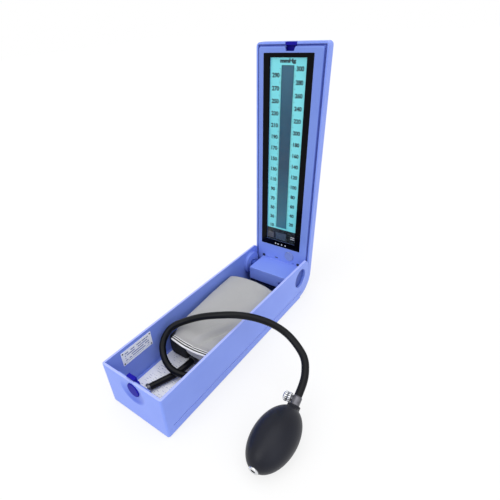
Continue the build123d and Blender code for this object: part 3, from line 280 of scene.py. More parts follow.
def rubberFinish(name, look):
    # Rubber: matt, faintly mottled, with a bloom of dust that is paler and rougher
    look = {**rubberMarks, **look}
    finish = Finish(name)
    bloom = finish.noise(look["bloomScale"], look["bloomDetail"])
    finish.set({
        "Base Color": finish.blend(bloom, look["dark"], look["light"]),
        "Roughness": look["roughness"] + look["bloomSwing"] * (bloom - 0.5),
        "Normal": finish.bumps(finish.noise(look["poreScale"]), look["pores"]),
        "Specular IOR Level": look["shine"],
        "Sheen Weight": look["sheen"],
    })


# Looks: colours from 0 to 255, places and reaches in metres
caseLook = {"dark": (119, 143, 229), "light": (129, 153, 235), "rubbed": (186, 202, 255),
            "roughness": 0.38, "grain": 0.10, "shine": 0.32}
plasticLooks = {
    "caseBlue": caseLook,
    # Painted on the tray: shade in the hollow round the push button, a highlight on the rim's top
    # and shade in the well at the drum
    "trayBlue": {**caseLook,
                 "hollow": (0.0, -0.1665, 0.0495), "hollowReach": 0.0205, "hollowEdge": 3.0,
                 "hollowLevel": 0.35, "hollowFall": 0.9, "hollowShade": 0.85,
                 "hollowColour": (70, 96, 200),
                 "rimHeight": 0.0669, "rimShare": 0.7, "rimColour": (178, 188, 252),
                 "wellFrom": 0.086, "wellTop": 0.030, "wellHalf": 0.0453, "wellShare": 0.9,
                 "wellColour": (14, 22, 56)},
    "bezelBlue": {"dark": (106, 130, 208), "light": (115, 139, 214), "rubbed": (168, 186, 246),
                  "roughness": 0.42, "grain": 0.14, "shine": 0.26,
                  # Painted on the bezel: shade in the groove round the panel, and light at its
                  # foot
                  "grooveHalf": 0.0434, "grooveTop": 0.3462, "grooveWidth": 0.0012,
                  "grooveStart": 0.25, "grooveShade": 0.75, "grooveColour": (40, 56, 158),
                  "footTop": 0.095, "footReach": 0.03, "footShare": 0.7,
                  "footColour": (134, 158, 240)},
    # The case's blue darkened as painted shade, for the caps and bushes deep in the hinge cups
    "capBlue": {"dark": (48, 70, 152), "light": (58, 82, 166), "rubbed": (104, 128, 208),
                "roughness": 0.45, "grain": 0.12, "shine": 0.2},
    "navyPlastic": {"dark": (16, 10, 136), "light": (22, 14, 158), "rubbed": (56, 58, 186),
                    "roughness": 0.5, "grain": 0.12, "shine": 0.1},
    "whitePlastic": {"dark": (214, 214, 210), "light": (226, 226, 222),
                     "rubbed": (240, 240, 238), "roughness": 0.35, "grain": 0.06},
    "buttonPlastic": {"dark": (122, 142, 205), "light": (134, 152, 210),
                      "rubbed": (178, 190, 236), "roughness": 0.3, "grain": 0.04}}
brightLook = {"dark": (196, 198, 202), "light": (232, 233, 236), "roughness": 0.2}
metalLooks = {
    "valveMetal": {"dark": (72, 72, 78), "light": (114, 114, 120), "roughness": 0.36},
    "brightMetal": brightLook,
    "inletMetal": {**brightLook, "boreRadius": 0.003, "boreStart": (0.1526, -0.1171, 0.024733),
                   "boreAlong": (0.0, -0.9925, -0.1219), "boreColour": (3, 3, 4)},
    "springSteel": {"dark": (128, 130, 134), "light": (176, 178, 180), "roughness": 0.3},
    "screwSteel": {"dark": (62, 64, 72), "light": (92, 95, 104), "roughness": 0.4,
                   "stretch": (1, 1, 1)}}
rubberLooks = {
    "hoseRubber": {"dark": (4, 5, 9), "light": (11, 13, 19), "roughness": 0.36, "shine": 0.16,
                   "sheen": 0.0},
    "bulbRubber": {"dark": (11, 12, 20), "light": (22, 25, 38), "roughness": 0.42,
                   "bloomScale": 26.0, "shine": 0.22, "sheen": 0.02},
    "footRubber": {"dark": (38, 38, 40), "light": (52, 52, 54), "roughness": 0.7}}
for makeFinish, looks in ((mouldedPlastic, plasticLooks), (metalFinish, metalLooks),
                          (rubberFinish, rubberLooks)):
    for name, look in looks.items():
        makeFinish(name, look)
print("finishes made")


# Camera of the photograph: focal length and middle of the picture in pixels of a square frame
photoCamera = {"place": (0.26129, -0.31863, 0.38753), "right": (0.78971, 0.61016, -0.06375),
               "up": (-0.33078, 0.51101, 0.79338), "focal": 377.73, "middle": (217.2, 296.74),
               "pixels": 500, "sensor": 36, "near": 0.01}


def placeCamera(look):
    right = Vector(look["right"]).normalized()
    up = Vector(look["up"])
    up = (up - right * up.dot(right)).normalized()
    camera = addObject("photoCamera", bpy.data.cameras.new("photoCamera"))
    camera.matrix_world = (Matrix.Translation(look["place"])
                           @ Matrix((right, up, right.cross(up))).transposed().to_4x4())
    camera.data.sensor_width = look["sensor"]
    camera.data.lens = look["focal"] / look["pixels"] * look["sensor"]
    camera.data.shift_x = (look["pixels"] / 2 - look["middle"][0]) / look["pixels"]
    camera.data.shift_y = (look["middle"][1] - look["pixels"] / 2) / look["pixels"]
    camera.data.clip_start = look["near"]
    scene.camera = camera


placeCamera(photoCamera)
print("camera placed")


# Mesh building. Every piece is a grid of points worked out at once.
def gridFaces(rows, columns, closed=True):
    # Quads between neighbouring rows and columns; closed joins the last column to the first
    down, across = np.meshgrid(np.arange(rows - 1), np.arange(columns - (not closed)),
                               indexing="ij")
    beside = (across + 1) % columns
    return np.stack([down * columns + across, down * columns + beside,
                     (down + 1) * columns + beside, (down + 1) * columns + across],
                    -1).reshape(-1, 4).tolist()


def makePiece(name, points, faces, finish, body, smooth=True):
    mesh = bpy.data.meshes.new(name)
    mesh.from_pydata(np.asarray(points, float).reshape(-1, 3), [], faces)
    mesh.update()
    dress(mesh, finish)
    mesh.shade_smooth() if smooth else mesh.shade_flat()
    piece = addObject(name, mesh)
    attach(piece, body)
    return piece


def makeJoined(name, parts, finish, body, smooth=False):
    # One piece out of many parts, each of them points in millimetres and faces
    points, faces, count = [], [], 0
    for partPoints, partFaces in parts:
        points.append(partPoints)
        faces += [[count + i for i in face] for face in partFaces]
        count += len(partPoints)
    return makePiece(name, mm * np.concatenate(points), faces, finish, body, smooth)


def readPoints(mesh):
    points = np.zeros(len(mesh.vertices) * 3)
    mesh.vertices.foreach_get("co", points)
    return points.reshape(-1, 3)


def unit(rows):
    return rows / np.linalg.norm(rows, axis=-1, keepdims=True)


def anglesRound(count):
    return np.linspace(0, 2 * math.pi, count, endpoint=False)


def lengthAlong(line):
    # How far along the line each of its points lies
    return np.concatenate([[0], np.cumsum(np.linalg.norm(np.diff(line, axis=0), axis=1))])


def pointsAt(where, knots, line):
    # Places on the line at these distances along it
    return np.stack([np.interp(where, knots, row) for row in line.T], -1)


def tubeAlong(line, radius, sides, reference):
    # A circle of the given radius carried along the line, square to it, and closed at both ends
    ahead = unit(np.gradient(line, axis=0))
    side = unit(np.cross(ahead, reference))
    over = np.cross(side, ahead)
    angle = anglesRound(sides)[None, :, None]
    radius = np.broadcast_to(radius, len(line))[:, None, None]
    rings = line[:, None] + radius * (side[:, None] * np.cos(angle)
                                      + over[:, None] * np.sin(angle))
    points = np.concatenate([rings.reshape(-1, 3), line[:1], line[-1:]])
    quads = gridFaces(len(line), sides)
    around = np.arange(sides)
    beside = (around + 1) % sides
    first = np.stack([around, beside, np.full(sides, len(points) - 2)], -1)
    last = len(line) * sides - sides
    final = np.stack([last + beside, last + around, np.full(sides, len(points) - 1)], -1)
    return points, quads + first.tolist() + final.tolist()


def turnedForm(start, along, profile, sides, ripple=None):
    # A profile of (distance along the axis, radius) turned round it; ripple scales the radius
    # by row and angle
    along = np.array(Vector(along).normalized())
    side = unit(np.cross(along, (0.0, 0.0, 1.0)))
    over = np.cross(side, along)
    angle = anglesRound(sides)
    reach, radius = np.array(profile, float).T
    rings = np.repeat(radius[:, None], sides, axis=1)
    if ripple is not None:
        rings = rings * ripple(np.arange(len(radius))[:, None], angle[None, :])
    points = (np.array(start) + reach[:, None, None] * along
              + rings[..., None] * (side * np.cos(angle)[:, None] + over * np.sin(angle)[:, None]))
    return points.reshape(-1, 3), gridFaces(len(radius), sides)


def tidyNormals(piece):
    # Joins doubled points and turns every face outwards
    work = bmesh.new()
    work.from_mesh(piece.data)
    bmesh.ops.remove_doubles(work, verts=work.verts, dist=1e-6)
    bmesh.ops.dissolve_degenerate(work, edges=work.edges, dist=1e-7)
    bmesh.ops.recalc_face_normals(work, faces=work.faces)
    work.to_mesh(piece.data)
    work.free()
    return piece


# Hoses. The points are the route of the model's hoses, in millimetres.
gaugeHoseSizes = {"diameter": 9.0, "length": 65.4,
                  "route": [(2, -77, 16), (2, -90, 16), (-4, -108, 12.3), (-11, -125, 11.9),
                            (-16, -139, 11.9)]}
bulbHoseSizes = {"diameter": 9.0, "length": 371.3,
                 "route": [(29, -66, 16), (29, -84, 16), (18, -102, 18), (-3, -110, 23.5),
                           (-25, -102, 28), (-36, -90, 42), (-33, -73, 57), (-14, -61, 68),
                           (7, -53, 79), (28, -46, 86), (48, -36, 89), (68, -25, 86),
                           (87, -15, 78), (106, -12, 69.5), (123, -16.5, 62), (138, -25, 56),
                           (146.5, -39.5, 49), (149.97, -51.88, 43.24),
                           (151.09, -64.47, 37.21)]}


def layHose(name, sizes):
    curve = bpy.data.curves.new(name, "CURVE")
    curve.dimensions = "3D"
    spline = curve.splines.new("NURBS")
    spline.points.add(len(sizes["route"]) - 1)
    for point, place in zip(spline.points, sizes["route"]):
        point.co = (*[mm * v for v in place], 1.0)
    spline.order_u = 3
    spline.use_endpoint_u = True
    curve.resolution_u = 10
    curve.bevel_depth = mm * sizes["diameter"] / 2
    curve.bevel_resolution = 8
    curve.use_fill_caps = True
    dress(curve, "hoseRubber")
    hose = addObject(name, curve)
    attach(hose, "case")
    return hose


gaugeHose = layHose("gaugeHoseTube", gaugeHoseSizes)
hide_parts("gauge_hose")
bulbHose = layHose("bulbHoseTube", bulbHoseSizes)
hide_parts("bulb_hose")
print("hoses laid")


# Display. The scale is a strip of numbers each side of the column. Places are in millimetres,
# and each side of the scale has its middle, its drop and its highest value.
displaySizes = {
    "lcdFace": 158.8, "inkLift": 0.05, "tealLow": 104.0, "columnX": -2.8, "columnHalf": 8.8,
    "columnEdge": 1.7, "columnLow": 106.5, "columnHigh": 327.0, "topNumber": 323.2,
    "bottomNumber": 115.8, "steps": 15, "valueStep": 20,
    "sides": ((14.2, 0.0, 300), (-19.4, 7.4, 290)), "numberHeight": 6.9, "numberWeight": 0.34,
    "unitPlace": (-3.0, 331.5), "unitHeight": 6.6, "unitWeight": 0.5,
    "unitStretch": (1.2, 0.8, 1.0), "ticks": 150, "ticksPerStep": 10, "longEvery": 5,
    "tickReach": (2.4, 1.3), "tickHalf": (0.22, 0.15), "tickGap": 0.4}
lcdLook = {"cloudScale": 18.0, "teal": ((92, 180, 190), (110, 196, 204)),
           "column": ((0.0, (40, 92, 112)), (0.16, (18, 74, 96)), (0.45, (0, 46, 72)),
                      (0.75, (4, 58, 84)), (1.0, (34, 78, 102))),
           "columnSide": (4, 62, 76), "strip": (16, 17, 20),
           "panes": (((-21.2, 91.0), (5.8, 5.2), (66, 66, 72)),
                     ((-2.6, 91.4), (9.4, 6.2), (50, 60, 74))),
           "roughness": 0.25, "paintedGlow": 0.32}
glassLook = {"middle": (-2.0, 209.25), "half": (25.4, 126.05), "print": (2, 2, 6),
             "tint": (110, 150, 160), "clearness": 0.985, "smudgeScale": 90.0,
             "smudgeDetail": 3.0, "smudge": 0.06, "roughness": 0.12, "shine": 0.08}
inkLook = {"colours": {"scaleInk": (2, 40, 50), "paleInk": (206, 210, 216),
                       "gauzeBlack": (4, 4, 8)},
           "grainScale": 900.0, "lighter": 14, "roughness": 0.5}


def lcdFinish(sizes, look):
    # Teal glass with a darker column down the middle and a dark strip with two panes below; it
    # also glows faintly in its own colours as painted light
    finish = Finish("lcdGlass")
    x, z = finish.axes("XZ")
    teal = finish.blend(finish.noise(look["cloudScale"]), *look["teal"])
    low, high = sizes["columnLow"], sizes["columnHigh"]
    stops = [(place, paint(*tone)) for place, tone in look["column"]]
    column = finish.add("ShaderNodeValToRGB", {"stops": stops},
                        {0: (z - mm * low) * (1 / (mm * (high - low)))})
    fromSide = mm * sizes["columnHalf"] - (x - mm * sizes["columnX"]).size()
    fromEdge = fromSide.least(mm * high - z) * (1 / (mm * sizes["columnEdge"]))
    column = finish.blend(fromEdge * fromEdge, look["columnSide"], column)
    inColumn = (finish.within(x, sizes["columnX"], sizes["columnHalf"])
                * (z > mm * low) * (z < mm * high))
    strip = look["strip"]
    for middle, half, tone in look["panes"]:
        strip = finish.blend(finish.inBox(x, z, middle, half), strip, tone)
    colour = finish.blend(z > mm * sizes["tealLow"], strip, finish.blend(inColumn, teal, column))
    # The emission is painted light, not a lamp
    finish.set({"Base Color": colour, "Roughness": look["roughness"], "Emission Color": colour,
                "Emission Strength": look["paintedGlow"]})


def windowFinish(look):
    # Clear glass over the scale, printed black round it
    finish = Finish("windowGlass")
    x, z = finish.axes("XZ")
    clear = finish.inBox(x, z, look["middle"], look["half"])
    smudge = finish.noise(look["smudgeScale"], look["smudgeDetail"])
    finish.set({"Base Color": finish.blend(clear, look["print"], look["tint"]),
                "Roughness": look["roughness"] + look["smudge"] * smudge,
                "Alpha": 1 - look["clearness"] * clear, "Specular IOR Level": look["shine"]})


def inkFinish(name, colour, look):
    finish = Finish(name)
    lighter = [min(255, value + look["lighter"]) for value in colour]
    finish.set({"Base Color": finish.blend(finish.noise(look["grainScale"]), colour, lighter),
                "Roughness": look["roughness"]})


lcdFinish(displaySizes, lcdLook)
windowFinish(glassLook)
for name, colour in inkLook["colours"].items():
    inkFinish(name, colour, inkLook)


def textPoints(words, height, weight):
    # Points and faces of flat letters, made bolder by the weight, centred on their own box
    curve = bpy.data.curves.new("words", "FONT")
    curve.body = words
    curve.align_x = curve.align_y = "CENTER"
    curve.size = height
    curve.offset = weight
    curve.resolution_u = 3
    helper = addObject("words", curve)
    flat = bpy.data.meshes.new_from_object(helper)
    points = readPoints(flat)
    faces = [list(face.vertices) for face in flat.polygons]
    bpy.data.objects.remove(helper)
    bpy.data.curves.remove(curve)
    bpy.data.meshes.remove(flat)
    return points, faces


def onDisplay(points, x, z, depth):
    # Flat points stood up on the display, facing the front
    return np.stack([x + points[:, 0], depth + 0 * points[:, 0], z + points[:, 1]], -1)


def drawScale(sizes):
    inkFace = sizes["lcdFace"] - sizes["inkLift"]
    step = (sizes["topNumber"] - sizes["bottomNumber"]) / (sizes["steps"] - 1)
    parts = []
    for place in range(sizes["steps"]):
        for x, drop, highest in sizes["sides"]:
            points, faces = textPoints(str(highest - sizes["valueStep"] * place),
                                       sizes["numberHeight"], sizes["numberWeight"])
            height = sizes["topNumber"] - drop - place * step
            parts.append((onDisplay(points, x, height, inkFace), faces))
    points, faces = textPoints("mmHg", sizes["unitHeight"], sizes["unitWeight"])
    parts.append((onDisplay(points * sizes["unitStretch"], *sizes["unitPlace"], inkFace), faces))
    makeJoined("scaleNumbers", parts, "scaleInk", "lid")
    # Ticks each side of the column, evenly spaced, and longer at each ten
    tick = np.arange(sizes["ticks"])
    height = sizes["topNumber"] - step * tick / sizes["ticksPerStep"]
    reach = np.where(tick % sizes["longEvery"] == 0, *sizes["tickReach"])
    half = np.where(tick % sizes["longEvery"] == 0, *sizes["tickHalf"])
    depth = inkFace + 0 * tick
    parts = []
    for side in (-1, 1):
        inner = sizes["columnX"] + side * (sizes["columnHalf"] + sizes["tickGap"]) + 0 * tick
        outer = inner + side * reach
        corners = np.stack([np.stack([x, depth, z], -1) for x, z in (
            (inner, height - half), (outer, height - half), (outer, height + half),
            (inner, height + half))], 1)
        order = np.arange(4)[::side]
        parts.append((corners.reshape(-1, 3), (tick[:, None] * 4 + order).tolist()))
    makeJoined("scaleTicks", parts, "scaleInk", "lid")


drawScale(displaySizes)

# Four pale dots on the glass below the scale, two plain bars in the dark strip (height, half
# width, half height) and a black sheet in the sound slot, just inside the front, as painted shade
markSizes = {"glassFace": 156.5, "dotsX": (-10.5, -5.7, 0.8, 7.2), "dotsZ": 78.3,
             "dotRadius": 1.15, "dotSides": 20, "dotLift": 0.04, "barFace": 158.75, "barX": 18.0,
             "bars": ((94.6, 3.2, 0.55), (91.4, 3.6, 0.45)), "slot": (-8.0, 52.0),
             "slotWidth": 5.96, "slotHeight": 1.56, "slotSides": 16, "slotDepth": 0.05}


def flatPart(outline, x, z, depth):
    return onDisplay(outline, x, z, depth), [list(range(len(outline)))]


def onCircle(angle):
    return np.stack([np.cos(angle), np.sin(angle)], -1)


def slotOutline(width, height, sides):
    # Two half circles joined by straight sides
    half = height / 2 * onCircle(np.linspace(-math.pi / 2, math.pi / 2, sides))
    right = half + ((width - height) / 2, 0)
    return np.concatenate([right, -right])


def drawMarks(sizes):
    disc = sizes["dotRadius"] * onCircle(anglesRound(sizes["dotSides"]))
    square = np.array([(-1, -1), (1, -1), (1, 1), (-1, 1)])
    slot = slotOutline(sizes["slotWidth"], sizes["slotHeight"], sizes["slotSides"])
    dots = [flatPart(disc, x, sizes["dotsZ"], sizes["glassFace"] - sizes["dotLift"])
            for x in sizes["dotsX"]]
    bars = [flatPart(square * half, sizes["barX"], z, sizes["barFace"])
            for z, *half in sizes["bars"]]
    slotDark = flatPart(slot, *sizes["slot"], sizes["glassFace"] + sizes["slotDepth"])
    makeJoined("windowDots", dots, "paleInk", "lid")
    makeJoined("stripBars", bars, "paleInk", "lid")
    makeJoined("slotShade", [slotDark], "gauzeBlack", "lid")


drawMarks(markSizes)
print("display drawn")


# Board, batteries and the two printed sheets
boardLook = {"trackScale": 260.0, "tracks": 0.62, "green": (22, 92, 54), "track": (34, 122, 76),
             "roughness": 0.4, "grainScale": 300.0, "grainSwing": 0.1, "relief": 0.2}
batteryLook = {"bandFrom": 12.5, "sleeve": (38, 40, 46), "band": (176, 132, 74),
               "metallic": 0.85, "roughness": 0.3, "grainScale": 400.0, "grainSwing": 0.15}
sheetMarks = {"rowShift": 7.3, "wordDetail": 1.0, "cloudScale": 45.0, "fibreDetail": 4.0,
              "relief": 0.12, "light": (255, 255, 255)}
leafletLook = {"rowAndRun": "YX", "rowStart": -152.0, "pitch": 3.4, "stroke": 0.55,
               "wordScale": 260.0, "gaps": 0.53, "middle": (0.0, -110.0), "half": (35.0, 41.0),
               "dark": (252, 253, 255), "ink": (150, 158, 184), "roughness": 0.75,
               "fibre": 1400.0}
plateLook = {"rowAndRun": "ZY", "rowStart": 42.3, "pitch": 3.6, "stroke": 1.5,
             "wordScale": 140.0, "gaps": 0.42, "middle": (-123.5, 51.5), "half": (20.0, 8.2),
             "dark": (246, 250, 255), "ink": (112, 128, 172), "roughness": 0.3,
             "fibre": 700.0}


def boardFinish(look):
    # Green board with paler tracks between the cells of a blocky pattern
    finish = Finish("boardGreen")
    tracks = finish.add("ShaderNodeTexVoronoi", {"distance": "CHEBYCHEV"},
                        {"Vector": finish.place, "Scale": look["trackScale"]})
    finish.set({"Base Color": finish.blend(tracks > look["tracks"], look["green"], look["track"]),
                "Roughness": finish.grainy(look), "Normal": finish.bumps(tracks, look["relief"])})


def batteryFinish(look):
    # Dark sleeve with a bare metal band at one end
    finish = Finish("batterySleeve")
    band = finish.axes("X")[0] > mm * look["bandFrom"]
    finish.set({"Base Color": finish.blend(band, look["sleeve"], look["band"]),
                "Metallic": look["metallic"] * band, "Roughness": finish.grainy(look)})


def ruledFinish(name, look):
    # Pale sheet with rows of short plain strokes that only suggest print: ink where a place
    # lies low in its row and the noise along that row is high
    look = {**sheetMarks, **look}
    finish = Finish(name)
    row, run = finish.axes(look["rowAndRun"])
    fromStart = row - look["rowStart"] * mm
    inRow = (fromStart % (look["pitch"] * mm)) < look["stroke"] * mm
    number = (fromStart * (1 / (look["pitch"] * mm))).floor()
    place = finish.add("ShaderNodeCombineXYZ", {}, {0: run * look["wordScale"],
                                                   1: number * look["rowShift"]})
    words = finish.add("ShaderNodeTexNoise", {}, {"Vector": place, "Scale": 1.0,
                                                  "Detail": look["wordDetail"]})
    printed = (inRow * (words > look["gaps"])
               * finish.inBox(run, row, look["middle"], look["half"]))
    sheet = finish.blend(finish.noise(look["cloudScale"]), look["dark"], look["light"])
    fibres = finish.noise(look["fibre"], look["fibreDetail"])
    finish.set({"Base Color": finish.blend(printed, sheet, look["ink"]),
                "Roughness": look["roughness"], "Normal": finish.bumps(fibres, look["relief"])})


boardFinish(boardLook)
batteryFinish(batteryLook)
ruledFinish("leafletPaper", leafletLook)
ruledFinish("platePrint", plateLook)

clothMarks = {"lean": 0.6, "patchScale": 30.0, "patchDetail": 4.0, "slubScale": 520.0,
              "slubDetail": 3.0, "slubStretch": (1, 0.25, 1), "weaveTint": 0.08,
              "slubTint": 0.1, "slubRelief": 0.7, "depth": 0.0002, "roughness": 0.82,
              "weaveSwing": 0.08, "sheen": 0.25, "sheenRoughness": 0.6}


def clothFinish(name, look):
    # Plain weave: two sets of threads crossing as a product of two waves, with thicker threads
    # here and there
    look = {**clothMarks, **look}
    finish = Finish(name)
    x, y, z = finish.axes()
    turn = 2 * math.pi / (look["thread"] * mm)
    warp = ((x + look["lean"] * z) * turn).wave()
    weft = ((y + look["lean"] * z) * turn).wave()
    weave = warp * weft
    patches = finish.noise(look["patchScale"], look["patchDetail"])
    slub = finish.noise(look["slubScale"], look["slubDetail"], look["slubStretch"])
    base = finish.blend(patches, look["dark"], look["light"])
    tint = look["weaveTint"] * (1 + weave) + look["slubTint"] * slub
    finish.set({
        "Base Color": finish.blend(tint, base, look["thin"]),
        "Roughness": look["roughness"] + look["weaveSwing"] * weave,
        "Normal": finish.bumps(weave + look["slubRelief"] * slub, look["relief"],
                               look["depth"]),
        "Sheen Weight": look["sheen"], "Sheen Roughness": look["sheenRoughness"],
    })


clothLooks = {
    "cuffCloth": {"dark": (160, 160, 161), "light": (174, 173, 172), "thin": (124, 124, 128),
                  "thread": 0.62, "relief": 0.35},
    # Black cloth of the piping; on the lining under the flap its near black is also painted shade
    "hemDark": {"dark": (4, 4, 6), "light": (9, 9, 12), "thin": (2, 2, 3), "thread": 0.8,
                "relief": 0.4, "sheen": 0.0},
    "hemPale": {"dark": (226, 226, 228), "light": (240, 240, 240), "thin": (190, 190, 194),
                "thread": 0.8, "relief": 0.4},
    "stitchThread": {"dark": (150, 150, 154), "light": (162, 162, 166),
                     "thin": (110, 110, 116), "thread": 0.3, "relief": 0.3}}
for name, look in clothLooks.items():
    clothFinish(name, look)

# Finishes of the model's own pieces
modelFinishes = {
    "trayBlue": "tray_body", "bezelBlue": "lid_bezel", "lcdGlass": "lcd_panel",
    "caseBlue": "lid_cover battery_box battery_door air_socket",
    "capBlue": "hinge_cap_left hinge_cap_right hinge_bush_left hinge_bush_right",
    "navyPlastic": "latch_slider lid_catch pressure_sensor button_switch buzzer",
    "buttonPlastic": "power_button", "whitePlastic": "lcd_backlight hose_plug",
    "windowGlass": "display_window", "boardGreen": "circuit_board",
    "batterySleeve": "batteries", "screwSteel": "lid_screws bezel_screws",
    "springSteel": "battery_contacts latch_spring button_spring hinge_pin_left hinge_pin_right",
    "valveMetal": "hose_ferrule release_valve", "brightMetal": "release_knob",
    "inletMetal": "inlet_valve", "hoseRubber": "inlet_flap gauge_hose bulb_hose",
    "bulbRubber": "bulb", "footRubber": "rubber_feet cuff_bladder",
    "leafletPaper": "leaflet", "platePrint": "wall_plate", "cuffCloth": "cuff"}
for name, nodes in modelFinishes.items():
    for node in nodes.split():
        dress(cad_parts[node].data, name)
print("model pieces finished")


# Coil springs wound in place of the model's springs, which on the object shorten as the part in
# front of them is pushed
springSizes = {
    "latch_spring": {"name": "latchCoil", "joint": "latch_slide", "body": "case", "travel": 2.0,
                     "wire": 0.35, "turns": 3.5, "perTurn": 30, "sides": 12},
    "button_spring": {"name": "buttonCoil", "joint": "button_push", "body": "lid",
                      "travel": 0.8, "wire": 0.3, "turns": 1.5, "perTurn": 30, "sides": 12},
}


def windSpring(node, sizes):
    # The wire's middle goes round a circle while it moves evenly along Y from seat to seat
    low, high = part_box(node)
    middle = (low + high) / 2
    wire = mm * sizes["wire"]
    radius = (high.x - low.x) / 2 - wire
    turn = np.linspace(0, 2 * math.pi * sizes["turns"], int(sizes["perTurn"] * sizes["turns"]))
    line = np.stack([middle.x + radius * np.cos(turn),
                     np.linspace(low.y + wire, high.y - wire, len(turn)),
                     middle.z + radius * np.sin(turn)], -1)
    points, faces = tubeAlong(line, wire, sizes["sides"], (0, 1, 0))
    spring = tidyNormals(makePiece(sizes["name"], points, faces, "springSteel", sizes["body"]))
    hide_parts(node)
    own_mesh(spring)


for node, sizes in springSizes.items():
    windSpring(node, sizes)
print("springs wound")


# Cuff: a folded pad in the tray, with its top flap askew and a piped hem
cuffSizes = {"low": (-40.6, -59.0, 6.4), "high": (40.6, 76.4, 48.6), "power": 0.28,
             "rows": 56, "columns": 96, "voxel": 4.5, "quality": 6, "pressure": 3.5, "frames": 20,
             "cap": 2.2,
             "clearLow": (-44.6, -62.0, 6.15), "clearHigh": (44.6, 78.5, 49.4)}


def roundedPad(sizes):
    # Superellipsoid: each coordinate is a power of the sine or cosine of two angles, which
    # gives a box with round edges and poles at its two ends
    low, high = np.array(sizes["low"]), np.array(sizes["high"])
    slope = np.linspace(-math.pi / 2, math.pi / 2, sizes["rows"])[:, None]
    turn = anglesRound(sizes["columns"])[None, :]

    def soft(value):
        return np.sign(value) * np.abs(value) ** sizes["power"]

    shape = np.stack(np.broadcast_arrays(soft(np.cos(turn)) * soft(np.cos(slope)),
                                         soft(np.sin(slope)) + 0 * turn,
                                         soft(np.sin(turn)) * soft(np.cos(slope))), axis=-1)
    return ((low + high) / 2 + shape * (high - low) / 2,
            gridFaces(sizes["rows"], sizes["columns"]))


def plumpPad(piece, sizes):
    # Remeshes the pad evenly, lets pressure swell it, and keeps each move under a cap
    remesh = piece.modifiers.new("even", "REMESH")
    remesh.mode = "VOXEL"
    remesh.voxel_size = mm * sizes["voxel"]
    graph = bpy.context.evaluated_depsgraph_get()
    even = bpy.data.meshes.new_from_object(piece.evaluated_get(graph))
    piece.modifiers.clear()
    piece.data = even
    before = readPoints(even)
    cloth = piece.modifiers.new("fill", "CLOTH")
    cloth.settings.quality = sizes["quality"]
    cloth.settings.use_pressure = True
    cloth.settings.uniform_pressure_force = sizes["pressure"]
    cloth.settings.effector_weights.gravity = 0
    for step in range(1, sizes["frames"] + 1):
        scene.frame_set(step)
    graph = bpy.context.evaluated_depsgraph_get()
    after = readPoints(piece.evaluated_get(graph).to_mesh())
    piece.evaluated_get(graph).to_mesh_clear()
    piece.modifiers.clear()
    scene.frame_set(1)
    move = after - before
    far = np.linalg.norm(move, axis=1, keepdims=True)
    before = before + move * np.minimum(1.0, mm * sizes["cap"] / np.maximum(far, 1e-9))
    clear = np.clip(before, *[mm * np.array(sizes[end]) for end in ("clearLow", "clearHigh")])
    even.vertices.foreach_set("co", clear.ravel())
    even.update()
    dress(even, "cuffCloth")
    even.shade_smooth()


def softNoise(points, scale, seed):
    # Mean of six slow sine waves in fixed random directions
    chance = np.random.default_rng(seed)
    waves = chance.normal(size=(6, 2)) * scale
    start = chance.uniform(0, 2 * math.pi, 6)
    return np.sin(points[..., :1] * waves[:, 0] + points[..., 1:2] * waves[:, 1] + start).mean(-1)


padPoints, padFaces = roundedPad(cuffSizes)
cuffPad = tidyNormals(makePiece("cuffPad", mm * padPoints, padFaces, "cuffCloth", "case"))
plumpPad(cuffPad, cuffSizes)
smoothPad = cuffPad.modifiers.new("smooth", "SUBSURF")
smoothPad.levels = smoothPad.render_levels = 1
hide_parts("cuff")

# Top flap: its edges run forward to a piped hem that bows out over the front. Each ripple has
# its height, its scale and its seed.
flapSizes = {"left": [(-41.5, 77.5), (-38.5, 20.0), (-33.0, -50.0), (-27.0, -79.8)],
             "right": [(37.5, 75.0), (41.2, 20.0), (40.6, -50.0), (38.0, -78.4)],
             "top": 53.4, "rearDrop": 7.0, "rearRun": 8.0, "rearSteep": 0.999, "rearBow": 5.0,
             "hemBow": 5.2, "bowPower": 0.8, "bowShare": 0.3, "hemHeight": 46.6, "hemRun": 26.0,
             "edgeDrop": 2.4, "edgePower": 5, "thickness": 3.0, "rows": 150, "columns": 76,
             "soften": 10, "creaseFrom": (8.0, -80.0), "creaseTo": (37.0, -18.0),
             "creaseDepth": 4.4, "creaseWidth": 4.2, "creaseLift": 1.5, "liftAway": 9.0,
             "liftWidth": 5.0, "creasePower": 0.6, "ripples": ((0.7, 0.05, 4), (0.3, 0.16, 9))}


